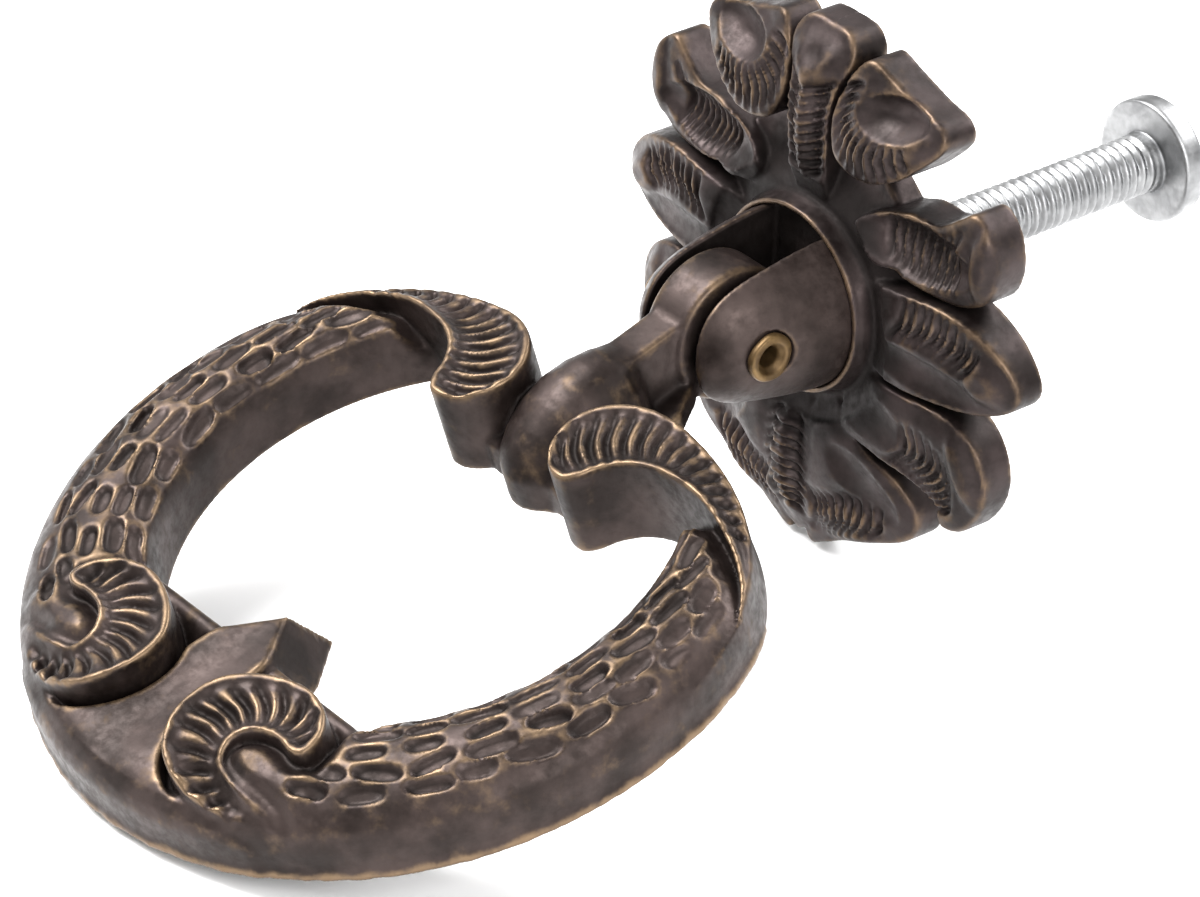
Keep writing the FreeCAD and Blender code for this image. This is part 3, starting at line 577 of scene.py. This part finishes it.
plain = ramp(scroll_edge, 0.5, 1.5) * ramp(volute_edge, 0.6, 1.5) * ramp(-outer_edge, 0.5, 1.2)
plain *= ramp(-inner_edge, 0.25, 0.7)
under_scroll = 1 - ramp(scroll_edge, 0.0, 1.7)
under_scroll *= 1 - ramp(across, 17.0, 22.0)
in_eye = (1 - ramp(volute_edge, 0.0, 1.3)) * ramp(away, 36.0, 38.0) * (1 - ramp(away, 43.0, 44.2))
eye = 1 - ramp(np.hypot((across - 9.8) / 3.8, (away - 42.3) / 2.3), 0.8, 1.1)
uneven = spread(np.random.default_rng(3).normal(0, 1, across.shape), 30) * 1.6
band_height = dome - scales() * plain - 1.5 * under_scroll - 0.7 * in_eye + 0.3 * eye + 0.12 * uneven
beside_volute = (1 - ramp(across, 9.0, 12.0)) * ramp(away, 33.0, 36.0) * (1 - eye)
band_height -= 2.2 * beside_volute * ramp(-outer_edge, 0.8, 2.2)
under_tip = 1 - ramp(np.hypot(across - 12.6, away - 12.6), 0.5, 2.6)
band_height -= under_tip

# The floor of the foot: a low shelf on the inner side, and deep gaps beside the keel
foot_floor = 1.45 - 2.3 * ramp(away, 36.6, 39.2) + 1.6 * ramp(away, 44.6, 46.6)
foot_edge = soft_max(soft_max(36.0 - away, across - 11.4, 1.6), outer_edge, 0.5)

# The keel: a wedge with a raked nose that flares into the outer wall
KEEL_SIDE = [
    (0.0, 29.0), (2.45, 29.0), (2.5, 36.7), (2.7, 40.0), (3.2, 43.0), (4.3, 45.1), (6.6, 46.5), (10.0, 47.0),
    (14.0, 50.0), (0.0, 52.0),
]
KEEL_LEVEL = 2.15
NOSE_START, NOSE_LEVEL, NOSE_SLOPE = 33.5, 2.1, 0.571
NOSE_FACING = (0.788, -0.616)
keel_half = np.array(KEEL_SIDE)
keel_loop = np.vstack([keel_half, keel_half[::-1] * (-1, 1)])
keel_edge, _ = flat.outline(keel_loop)
gap_width = 0.5 * (1 - ramp(across, 7.0, 10.0))
keel_edge = soft_max(soft_max(keel_edge, gap_width - volute_edge, 0.3), outer_edge, 0.9)
keel_rim = bell(np.abs(keel_edge) - 0.2, 0.25) * ramp(away, 34.0, 35.0) * (1 - ramp(away, 43.0, 46.0))
from_outside = np.clip(-outer_edge / BAND_WIDTH, 0, 0.5)
outer_dome = OUTER_LEVEL + DOME_RISE * np.clip(1 - (1 - 2 * from_outside) ** 2, 0, 1) ** DOME_FULLNESS
keel_height = soft_min(KEEL_LEVEL - 0.3 * bell(across, 1.3) + 0.1 * keel_rim, outer_dome, 0.7)

# A web behind the scrolls closes the middle
web_height = 0.2 - 0.25 * ramp(away, 13.5, 16.5)
web_edge = soft_max(across - 4.2, soft_max(away - 15.6, 9.4 - away, 0.5), 1.2)


def standing(height, edge, levels, spacing, rounding):
    """The solid under a drawn height and inside a drawn outline, as a field over all the levels."""
    slope = np.minimum(np.hypot(*np.gradient(height, spacing)), 2.5)
    top = (levels - height[:, :, None]) / np.sqrt(1 + slope ** 2)[:, :, None]
    return soft_max(top, edge[:, :, None], rounding)


gx = across[:, :, None]
gy = away[:, :, None]
gz = ring_levels[None, None, :]


def rounded_box(low, high, radius):
    """Field of a box between two corners with its edges rounded."""
    centre = (np.array(low) + np.array(high)) / 2
    half = (np.array(high) - np.array(low)) / 2 - radius
    parts = [np.abs(value - c) - s for value, c, s in zip((gx, gy, gz), centre, half)]
    outside = np.sqrt(sum(np.clip(part, 0, None) ** 2 for part in parts))
    inside = np.minimum(np.maximum(np.maximum(parts[0], parts[1]), parts[2]), 0)
    return outside + inside - radius


KNUCKLE_RADIUS = 4.4
KNUCKLE_HALF_WIDTH = 1.7
KNUCKLE_BORE = 1.15
SHANK = ((-1.35, 1.0, BACK), (1.35, 10.0, 3.0))
# The ledge's half width at places along the tang, and the boss's half width and height at others
LEDGE_START, LEDGE_END, LEDGE_LEVEL, LEDGE_HALF_HEIGHT = 3.7, 12.0, -1.75, 0.75
LEDGE_PLACES = [3.4, 4.4, 6.2, 12.0]
LEDGE_HALF_WIDTHS = [1.6, 2.3, 3.4, 3.5]
BOSS_START, BOSS_END, BOSS_AXIS = 6.5, 16.7, -0.3
BOSS_PLACES = [6.6, 7.2, 8.2, 9.6, 11.2, 13.0, 14.6, 15.8, 16.6]
BOSS_HALF_WIDTHS = [1.2, 2.1, 2.9, 3.4, 3.6, 3.4, 2.8, 2.0, 1.2]
BOSS_LEVELS = [2.7, 3.2, 3.75, 3.95, 3.85, 3.3, 2.4, 1.5, 0.6]


def along_tang(places, values):
    """Values given at places along the tang, for every row of the flat sheet."""
    return np.interp(flat.ys, places, values)[None, :, None]


def tang_field():
    """The knuckle about the rivet, its shank, the ledge behind it and the acorn boss between the scrolls."""
    from_pin = np.hypot(gy, gz)
    barrel = soft_max(from_pin - KNUCKLE_RADIUS, np.abs(gx) - KNUCKLE_HALF_WIDTH, 0.5)
    shank = rounded_box(*SHANK, 0.4)
    ledge_plan = soft_max(gx - along_tang(LEDGE_PLACES, LEDGE_HALF_WIDTHS), LEDGE_START - gy, 0.4)
    ledge = soft_max(ledge_plan, np.abs(gz - LEDGE_LEVEL) - LEDGE_HALF_HEIGHT, 0.35)
    ledge = np.maximum(ledge, gy - LEDGE_END)
    wide = along_tang(BOSS_PLACES, BOSS_HALF_WIDTHS)
    tall = along_tang(BOSS_PLACES, BOSS_LEVELS) - BOSS_AXIS
    boss = (np.hypot(gx / wide, (np.maximum(gz, BOSS_AXIS) - BOSS_AXIS) / tall) - 1) * wide
    boss = soft_max(boss, np.maximum(BOSS_START - gy, gy - BOSS_END), 1.2)
    tang = soft_min(soft_min(shank, ledge, 0.5), boss, 0.7)
    tang = soft_min(tang, barrel, 0.3)
    flat_back = BACK - gz + np.where(gy < KNUCKLE_RADIUS + 0.2, DEEP_INSIDE, 0)
    tang = soft_max(tang, flat_back, 0.3)
    return soft_max(tang, KNUCKLE_BORE - from_pin, 0.1)


# The scrolls' end of the ring has no flash
FLASH_START = 14


def ring_field():
    """Every form of the ring's casting, each with its own skin, run together."""
    rough_edge = spread(np.random.default_rng(5).normal(0, 1, across.shape), 6)[:, :, None]
    flash = 0.17 * bell(gz + 2.2, 0.3) * (1 + 0.8 * rough_edge) * (gy > FLASH_START)
    flash = flash * ramp(outer_edge, -1.5, 0)[:, :, None]
    band = standing(band_height, band_edge, gz, RING_STEP, 0.5) - flash
    foot = standing(foot_floor, foot_edge, gz, RING_STEP, 0.6) - flash
    web = standing(web_height, web_edge, gz, RING_STEP, 0.5)
    casting = soft_min(soft_min(band, foot, 0.6), web, 0.5)
    nose = NOSE_FACING[0] * gx + NOSE_FACING[1] * (gy - NOSE_START + NOSE_SLOPE * (NOSE_LEVEL - gz))
    keel = soft_max(standing(keel_height, keel_edge, gz, RING_STEP, 0.3), nose, 0.4)
    casting = soft_min(casting, keel, 0.15)
    casting = soft_min(casting, standing(scroll_height, scroll_edge, gz, RING_STEP, 0.3), 0.2)
    casting = soft_min(casting, standing(volute_height, volute_edge, gz, RING_STEP, 0.3), 0.2)
    casting = soft_max(casting, BACK - gz, 0.3)
    return soft_min(casting, tang_field(), 0.4)


def whole(half):
    """A field drawn on one side of the middle, repeated on the other."""
    return np.concatenate([half[3:][::-1], half[2:]])


ring_half = ring_field()
ring_points, ring_faces = skin(whole(ring_half), (-flat.xs[-1], flat.ys[0], ring_levels[0]), RING_STEP)
cos_rest, sin_rest = math.cos(REST_ANGLE), math.sin(REST_ANGLE)
placed = np.column_stack([
    ring_points[:, 0],
    -ring_points[:, 1] * cos_rest - ring_points[:, 2] * sin_rest,
    -ring_points[:, 1] * sin_rest + ring_points[:, 2] * cos_rest,
]) + PIVOT


def read_at(sheet, values, x, y):
    """The sheet's values at scattered spots."""
    column = np.clip(((x - sheet.xs[0]) / sheet.step).round().astype(int), 0, len(sheet.xs) - 1)
    row = np.clip(((y - sheet.ys[0]) / sheet.step).round().astype(int), 0, len(sheet.ys) - 1)
    return values[column, row]


# The casting's flash, along the outer edge of the back, is scuffed bare
by_edge = ramp(read_at(flat, outer_edge, np.abs(ring_points[:, 0]), ring_points[:, 1]), -0.5, -0.1)
scuffed = 0.42 * bell(ring_points[:, 2] + 2.1, 0.32) * by_edge * (ring_points[:, 1] > FLASH_START)
make_piece("ring_casting", placed, ring_faces[:, ::-1], "ring", "ring", RING_BRONZE, scuffed)


# The rosette, seen from the front: x across, y up, levels rising from its back

ROSETTE_STEP = 0.17
front = Sheet((-2 * ROSETTE_STEP, -19.2), (19.4, 19.2), ROSETTE_STEP)
rosette_levels = np.arange(-2 * ROSETTE_STEP, 5.6, ROSETTE_STEP)
rz = rosette_levels[None, None, :]

BASE_RADIUS = 10.8
LEAF_TOP = 4.75
COLLAR_RADIUS, COLLAR_LEVEL, COLLAR_FLARE = 6.2, 4.5, 0.45
CUP_RADIUS, CUP_FLOOR = 5.86, 0.92
SCREW_WAY_RADIUS = 2.25

# Each leaf: its rim with heights off the back, its smooth scoops and swells (x, y, length, width, turn,
# height), and the fan of grooves that parts its ribs, between the spots they start from and those they run to
LEAVES = {
    "side": {
        "rim": [(5.4, 3.0, 3.7), (10.0, 4.4, 3.9), (13.3, 4.5, 3.5), (15.8, 3.6, 2.9), (17.4, 2.3, 2.4),
                (18.2, 0.7, 2.1), (17.3, -0.7, 2.3), (15.0, -1.7, 2.8), (12.0, -2.1, 3.4), (8.8, -2.3, 3.7),
                (5.4, -1.8, 3.7)],
        "forms": [(15.9, 0.9, 2.2, 1.5, -25, 0.55), (11.0, -0.4, 4.6, 1.3, -4, -0.5)],
        "from": [(8.6, 1.3), (10.8, 1.7), (12.8, 1.5), (14.6, 0.8)],
        "to": [(9.4, 3.9), (11.8, 4.2), (13.8, 3.8), (15.6, 2.6)],
        "ribs": 10, "bow": 0.12,
    },
    "shoulder": {
        "rim": [(4.6, 7.2, 3.7), (8.2, 9.2, 3.3), (10.8, 9.4, 3.0), (12.6, 10.6, 2.9), (13.9, 11.4, 2.7),
                (15.4, 10.2, 2.6), (15.9, 8.0, 2.6), (15.2, 6.0, 2.6), (13.2, 4.9, 2.8), (10.6, 4.9, 3.3),
                (8.2, 5.3, 3.8), (5.4, 5.2, 3.9)],
        "forms": [(9.6, 7.2, 4.8, 1.9, 2, -1.15), (14.9, 8.3, 2.9, 0.9, 88, 0.5)],
        "from": [(7.2, 6.2), (9.2, 5.8), (11.2, 5.6), (13.0, 5.9)],
        "to": [(6.8, 8.2), (9.2, 8.7), (11.4, 8.8), (13.4, 10.0)],
        "ribs": 9, "bow": -0.16,
    },
    "upper": {
        "rim": [(2.3, 12.6, 4.1), (3.2, 10.9, 4.4), (5.5, 10.4, 4.4), (7.6, 11.1, 4.1), (9.4, 12.6, 3.6),
                (10.8, 14.3, 2.8), (10.3, 15.5, 2.5), (8.4, 16.0, 2.5), (6.0, 16.8, 2.6), (4.0, 17.4, 2.7),
                (2.9, 16.2, 3.2), (2.3, 14.2, 3.8)],
        "forms": [(6.2, 14.2, 3.6, 2.4, 10, 0.35), (6.9, 14.9, 2.6, 1.35, 8, -0.8)],
        "from": [(3.9, 16.2), (4.0, 14.4), (5.0, 13.5), (6.8, 13.2), (8.5, 13.5)],
        "to": [(2.7, 15.4), (2.8, 12.6), (4.4, 11.0), (6.9, 11.1), (9.0, 12.7)],
        "ribs": 12, "bow": 0.1,
    },
    "lower": {
        "rim": [(4.6, -3.2, 3.7), (9.2, -2.8, 3.5), (12.6, -2.7, 3.2), (14.9, -3.8, 2.7), (16.1, -5.9, 2.4),
                (15.9, -8.2, 2.3), (14.4, -10.4, 2.2), (12.6, -11.0, 2.2), (11.9, -9.6, 2.6),
                (10.2, -8.4, 3.2), (7.6, -7.8, 3.7), (4.4, -6.8, 3.8)],
        "forms": [(7.0, -5.2, 3.6, 1.6, -8, -0.35), (14.6, -6.0, 2.9, 1.0, -70, 0.5)],
        "from": [(8.6, -7.5), (10.2, -7.8), (11.4, -8.8), (12.2, -10.0)],
        "to": [(9.6, -4.6), (11.8, -4.6), (13.3, -6.3), (13.6, -9.0)],
        "ribs": 9, "bow": 0.22,
    },
    "foot": {
        "rim": [(3.2, -5.6, 3.7), (6.4, -8.0, 3.6), (9.0, -9.3, 3.0), (10.6, -11.4, 2.4), (9.9, -13.3, 2.4),
                (7.4, -14.8, 2.5), (4.6, -16.0, 2.5), (2.4, -17.3, 2.4), (0.9, -17.8, 2.3), (0.5, -15.0, 3.0),
                (1.1, -11.0, 3.7), (1.6, -7.2, 3.8)],
        "forms": [(6.6, -10.6, 3.2, 1.5, -35, -0.55), (4.6, -14.4, 3.4, 1.7, 20, 0.7)],
        "from": [(1.5, -16.2), (3.0, -15.9), (5.0, -15.0), (7.2, -14.2)],
        "to": [(1.7, -13.0), (3.3, -12.7), (5.4, -12.2), (7.9, -12.4)],
        "ribs": 9, "bow": 0.2,
    },
    "top": {
        "rim": [(-1.5, 7.0, 3.6), (0.0, 6.8, 3.6), (1.5, 7.0, 3.6), (1.8, 12.0, 4.1), (2.0, 14.6, 3.8),
                (2.7, 16.6, 3.0), (1.9, 18.0, 2.5), (0.0, 18.2, 2.4), (-1.9, 18.0, 2.5), (-2.7, 16.6, 3.0),
                (-2.0, 14.6, 3.8), (-1.8, 12.0, 4.1)],
        "forms": [(0.0, 16.2, 2.2, 1.9, 0, 0.45), (0.0, 12.0, 4.4, 0.8, 90, 0.4)],
        "from": [(0.15, 8.4), (0.15, 10.4), (0.15, 12.6), (0.15, 14.6)],
        "to": [(1.4, 9.0), (1.55, 11.2), (1.65, 13.6), (1.9, 15.4)],
        "ribs": 10, "bow": 0.1,
    },
    "bottom": {
        "rim": [(-1.5, -6.8, 3.6), (0.0, -6.6, 3.6), (1.5, -6.8, 3.6), (2.0, -11.0, 4.1), (1.8, -14.0, 3.7),
                (1.2, -16.2, 2.9), (0.0, -17.4, 2.4), (-1.2, -16.2, 2.9), (-1.8, -14.0, 3.7),
                (-2.0, -11.0, 4.1)],
        "forms": [(0.0, -11.5, 4.6, 1.2, 90, 0.45)],
        "from": [(-0.2, -8.2), (-0.2, -10.6), (-0.2, -13.0), (-0.2, -15.2)],
        "to": [(1.7, -8.8), (1.9, -11.4), (1.8, -13.8), (1.2, -15.8)],
        "ribs": 10, "bow": -0.1,
    },
}


def fan(starts, ends, count):
    """Pairs of spots for grooves spread evenly between two lines."""
    first, last = smooth_line(starts, 12), smooth_line(ends, 12)
    pairs = []
    for k in range(count):
        spot = (k + 0.5) / count
        pairs.append((first[int(spot * (len(first) - 1))], last[int(spot * (len(last) - 1))]))
    return pairs


def shaped(sheet, forms):
    """Smooth oval scoops and swells, each below or above the face by its height."""
    total = np.zeros(sheet.x.shape)
    for x, y, length, width, turn, rise in forms:
        c, s = math.cos(math.radians(turn)), math.sin(math.radians(turn))
        dx, dy = sheet.x - x, sheet.y - y
        reach = np.hypot((dx * c + dy * s) / length, (dy * c - dx * s) / width)
        oval = 1 - ramp(reach, 0.35, 1.1) if rise > 0 else np.clip(1 - reach ** 2, 0, 1) ** 0.8
        total += rise * oval
    return total


def leaf_field(leaf):
    """One leaf as a solid: a puffed face with scoops, swells and ribs, over deep side walls."""
    edge, rim = front.outline(smooth_line(leaf["rim"], 8, closed=True))
    depth = np.clip(-edge, 0, None)
    face = spread(rim, 40) + 0.3 * ramp(depth, 0.0, 1.6) + shaped(front, leaf["forms"])
    face -= grooves(front, fan(leaf["from"], leaf["to"], leaf["ribs"]), 0.17, 0.66, leaf["bow"])
    face = np.minimum(face, LEAF_TOP)
    return standing(face, edge, rz, ROSETTE_STEP, 0.3)


def rosette_field():
    """Base, leaves, collar and bores."""
    from_middle = np.hypot(front.x, front.y)
    lobes = 0.12 * np.sin(9 * np.arctan2(front.y, front.x))
    base_height = 2.0 + 1.3 * (1 - ramp(from_middle, 6.0, 10.5)) + lobes
    base_reach = BASE_RADIUS + 2.6 * bell(front.x, 2.6)
    field = standing(base_height, from_middle - base_reach, rz, ROSETTE_STEP, 0.5)
    for leaf in LEAVES.values():
        field = soft_min(field, leaf_field(leaf), 0.15)
    axis_gap = from_middle[:, :, None]
    flared = COLLAR_RADIUS + COLLAR_FLARE * ramp(COLLAR_LEVEL - rz, 0.0, 2.6)
    collar = soft_max(axis_gap - flared, rz - COLLAR_LEVEL, 0.2)
    moat = soft_max(-collar, np.maximum(axis_gap - 8.2, 3.0 - rz + 0.35 * (axis_gap - 6.4)), 0.2)
    field = soft_max(field, -moat, 0.3)
    field = soft_min(field, collar, 0.35)
    field = soft_max(field, -rz, 0.15)
    field = soft_max(field, np.minimum(CUP_RADIUS - axis_gap, rz - CUP_FLOOR), 0.12)
    return np.maximum(field, SCREW_WAY_RADIUS - axis_gap)


rosette_points, rosette_faces = skin(whole(rosette_field()), (-front.xs[-1], front.ys[0], rosette_levels[0]),
                                     ROSETTE_STEP)
rosette_placed = np.column_stack([rosette_points[:, 0], -rosette_points[:, 2], rosette_points[:, 1]])
from_axis = np.hypot(rosette_points[:, 0], rosette_points[:, 1])
# Painted shade darkens the moat about the collar, the leaves' tips are rubbed, and the back is neither
moat_shade_and_tip_wear = -1.2 * ramp(from_axis, 6.3, 6.7) * (1 - ramp(from_axis, 7.6, 10.5))
moat_shade_and_tip_wear += 0.17 * ramp(from_axis, 12.0, 16.5)
moat_shade_and_tip_wear *= ramp(rosette_points[:, 2], 0.6, 2.0)
make_piece("rosette_casting", rosette_placed, rosette_faces, "fixed", "rosette",
           ROSETTE_BRONZE, moat_shade_and_tip_wear)


# The post, the rivet and the screw are turned parts, drawn in the row's own directions


def grid(low, high, step):
    """Coordinates x, y and z of every point of a block between two corners."""
    rows = [np.arange(a, b + step, step) for a, b in zip(low, high)]
    return np.meshgrid(*rows, indexing="ij")


POST_STEP = 0.16
POST_LOW, POST_HIGH = (-6.3, -14.9, -6.3), (6.3, -0.3, 6.3)
POST_START, POST_END = -14.4, -0.9
POST_PLACES = [-14.4, -14.2, -13.8, -13.3, -12.8, -11.9, -10.6, -9.0, -7.0, -5.0, 0.0]
POST_RADII = [1.2, 2.1, 2.95, 3.6, 4.05, 4.55, 4.95, 5.25, 5.58, 5.8, 5.8]
SLOT_HALF_WIDTH, SLOT_FLOOR = 2.45, -3.6
RIVET_HOLE_RADIUS, RIVET_SINK_RADIUS, RIVET_SINK_START = 1.12, 1.66, 4.62
TAPPED_HOLE_RADIUS, TAPPED_HOLE_END = 2.02, -4.2


def post_skin():
    """A bullet-nosed stem with a slot for the knuckle, the rivet's hole and a blind hole for the screw."""
    x, y, z = grid(POST_LOW, POST_HIGH, POST_STEP)
    radius = np.interp(y[0, :, 0], POST_PLACES, POST_RADII)
    radius = np.convolve(np.pad(radius, 3, mode="edge"), np.ones(7) / 7, mode="valid")[None, :, None]
    field = soft_max(np.hypot(x, z) - radius, POST_START - y, 0.8)
    field = soft_max(field, y - POST_END, 0.1)
    field = soft_max(field, np.minimum(SLOT_HALF_WIDTH - np.abs(x), SLOT_FLOOR - y), 0.35)
    from_rivet = np.hypot(y + PIN_REACH, z)
    sink = np.minimum(RIVET_SINK_RADIUS - from_rivet, np.abs(x) - RIVET_SINK_START)
    field = soft_max(field, np.maximum(RIVET_HOLE_RADIUS - from_rivet, sink), 0.12)
    tapped_hole = np.minimum(TAPPED_HOLE_RADIUS - np.hypot(x, z), y - TAPPED_HOLE_END)
    return skin(np.maximum(field, tapped_hole), POST_LOW, POST_STEP)


post_points, post_faces = post_skin()
# Painted shade darkens the inside of the slot, where the knuckle sits.
slot_shade = -2.0 * (1 - ramp(np.abs(post_points[:, 0]), SLOT_HALF_WIDTH - 0.15, SLOT_HALF_WIDTH + 0.15))
make_piece("post_turning", post_points, post_faces, "fixed", "post", POST_BRONZE, slot_shade)

RIVET_STEP = 0.08
RIVET_LOW, RIVET_HIGH = (-5.7, -1.95, -1.95), (5.7, 1.95, 1.95)
RIVET_RADIUS, RIVET_PIN_END = 1.09, 5.1
RIVET_HEAD_RADIUS, RIVET_HEAD_START, RIVET_HEAD_END = 1.58, 4.66, 5.25
RIVET_HOLLOW_RADIUS, RIVET_HOLLOW_START = 0.7, 3.1


def rivet_skin():
    """A pin with spread heads, a little out of round, and a flared hollow in each end."""
    x, y, z = grid(RIVET_LOW, RIVET_HIGH, RIVET_STEP)
    from_axis, turn, out = np.hypot(y, z), np.arctan2(z, y), np.abs(x)
    bent = 0.03 * np.sin(3 * turn + x) + 0.02 * np.sin(5 * turn)
    ends = np.maximum(RIVET_HEAD_START - out, out - RIVET_HEAD_END)
    head = soft_max(from_axis - RIVET_HEAD_RADIUS - bent, ends, 0.25)
    pin = soft_max(from_axis - RIVET_RADIUS, out - RIVET_PIN_END, 0.1)
    flared = RIVET_HOLLOW_RADIUS + 0.35 * ramp(out, 4.75, 5.3)
    hollow = np.minimum(flared - from_axis, out - RIVET_HOLLOW_START)
    return skin(soft_max(soft_min(head, pin, 0.15), hollow, 0.12), RIVET_LOW, RIVET_STEP)


rivet_points, rivet_faces = rivet_skin()
make_piece("hollow_rivet", rivet_points + PIVOT, rivet_faces, "fixed", "rivet", RIVET_BRASS)

SCREW_STEP = 0.11
SCREW_LOW, SCREW_HIGH = (-4.3, -3.1, -4.3), (4.3, 27.5, 4.3)
SCREW_START, SCREW_END, SCREW_RADIUS = -2.9, 26.0, 1.97
THREAD_PITCH, THREAD_DEPTH = 0.7, 0.36
HEAD_UNDER, HEAD_TOP, HEAD_RADIUS, HEAD_BOW = 25.1, 27.15, 4.07, 0.5
RECESS_HALF_LENGTH, RECESS_HALF_WIDTH, RECESS_FLOOR = 2.1, 0.45, 25.8


def screw_skin():
    """A machine screw: helical thread, low domed head and a cross recess that narrows with depth."""
    x, y, z = grid(SCREW_LOW, SCREW_HIGH, SCREW_STEP)
    from_axis = np.hypot(x, z)
    phase = (y / THREAD_PITCH - np.arctan2(z, x) / (2 * math.pi)) % 1.0
    thread = SCREW_RADIUS - THREAD_DEPTH * np.abs(2 * phase - 1) ** 1.2 * ramp(HEAD_UNDER - y, 0.4, 1.2)
    shank = soft_max(from_axis - thread, np.maximum(SCREW_START - y, y - SCREW_END), 0.12)
    top = HEAD_TOP - HEAD_BOW * (from_axis / HEAD_RADIUS) ** 4
    head = soft_max(from_axis - HEAD_RADIUS, np.maximum(HEAD_UNDER - y, y - top), 0.3)
    down = np.clip(HEAD_TOP - y, 0, 2)
    longer = np.maximum(np.abs(x), np.abs(z))
    shorter = np.minimum(np.abs(x), np.abs(z))
    arms = np.maximum(longer - RECESS_HALF_LENGTH + 0.5 * down, shorter - RECESS_HALF_WIDTH + 0.12 * down)
    recess = soft_max(arms, RECESS_FLOOR - y, 0.1)
    return skin(soft_max(soft_min(shank, head, 0.2), -recess, 0.12), SCREW_LOW, SCREW_STEP)


screw_points, screw_faces = screw_skin()
make_piece("threaded_screw", screw_points, screw_faces, "fixed", "screw", SCREW_ZINC)


# The camera, the floor and the light

VIEW_AZIMUTH = math.radians(49.86)
VIEW_ELEVATION = math.radians(31.49)
VIEW_ROLL = math.radians(2.58)
FOCAL_PIXELS = 6305.745
FRAME_WIDTH = 1200
SENSOR_WIDTH = 36.0
CAMERA_BACK, CAMERA_RIGHT, CAMERA_UP = 386.153, -14.931, -10.620


def set_camera():
    """The photograph's view: position, turn and focal length, all in the row's frame."""
    toward = Vector((math.sin(VIEW_AZIMUTH) * math.cos(VIEW_ELEVATION),
                     -math.cos(VIEW_AZIMUTH) * math.cos(VIEW_ELEVATION), math.sin(VIEW_ELEVATION)))
    level = Vector((math.cos(VIEW_AZIMUTH), math.sin(VIEW_AZIMUTH), 0))
    rise = toward.cross(level)
    right = level * math.cos(VIEW_ROLL) + rise * math.sin(VIEW_ROLL)
    up = rise * math.cos(VIEW_ROLL) - level * math.sin(VIEW_ROLL)
    place = (toward * CAMERA_BACK + right * CAMERA_RIGHT + up * CAMERA_UP) * MM
    camera = bpy.data.objects.new("camera", bpy.data.cameras.new("camera"))
    camera.data.sensor_width = SENSOR_WIDTH
    camera.data.lens = FOCAL_PIXELS * SENSOR_WIDTH / FRAME_WIDTH
    camera.data.clip_start = 0.01
    turn = Matrix((right, up, toward)).transposed()
    camera.matrix_world = Matrix.Translation(place) @ turn.to_4x4()
    bpy.context.scene.collection.objects.link(camera)
    bpy.context.scene.camera = camera


# The floor's level in millimetres, and how far it goes to each side in metres
FLOOR_LEVEL = -18.3
FLOOR_REACH = 3.0


def make_floor():
    """A plain white table under the pull."""
    mesh = bpy.data.meshes.new("floor")
    low = FLOOR_LEVEL * MM
    corners = [(x * FLOOR_REACH, y * FLOOR_REACH, low) for x, y in ((-1, -1), (1, -1), (1, 1), (-1, 1))]
    mesh.from_pydata(corners, [], [(0, 1, 2, 3)])
    floor = bpy.data.objects.new("floor", mesh)
    bpy.context.scene.collection.objects.link(floor)
    material = bpy.data.materials.new("floor_white")
    material.use_nodes = True
    shader = material.node_tree.nodes["Principled BSDF"]
    shader.inputs["Base Color"].default_value = (0.94, 0.94, 0.94, 1)
    shader.inputs["Roughness"].default_value = 0.6
    mesh.materials.append(material)


def add_light(name, place, size, power, aim=(0, -25, -5)):
    """A soft rectangular lamp at a place in millimetres, turned to the pull. Its size is in metres."""
    light = bpy.data.lights.new(name, "AREA")
    light.shape = "RECTANGLE"
    light.size, light.size_y = size
    light.energy = power
    holder = bpy.data.objects.new(name, light)
    holder.location = Vector(place) * MM
    direction = (Vector(aim) - Vector(place)).normalized()
    holder.rotation_euler = direction.to_track_quat("-Z", "Y").to_euler()
    bpy.context.scene.collection.objects.link(holder)


set_camera()
make_floor()
add_light("key", (-260, -180, 420), (0.36, 0.3), 7.5)
add_light("fill", (380, -120, 220), (0.3, 0.3), 2.2)
add_light("back", (40, 360, 300), (0.4, 0.2), 3.0)
studio = bpy.data.worlds.new("studio")
studio.use_nodes = True
surround = studio.node_tree.nodes["Background"]
surround.inputs["Color"].default_value = (1, 1, 1, 1)
surround.inputs["Strength"].default_value = 0.8
bpy.context.scene.world = studio
bpy.context.scene.view_settings.view_transform = "Standard"
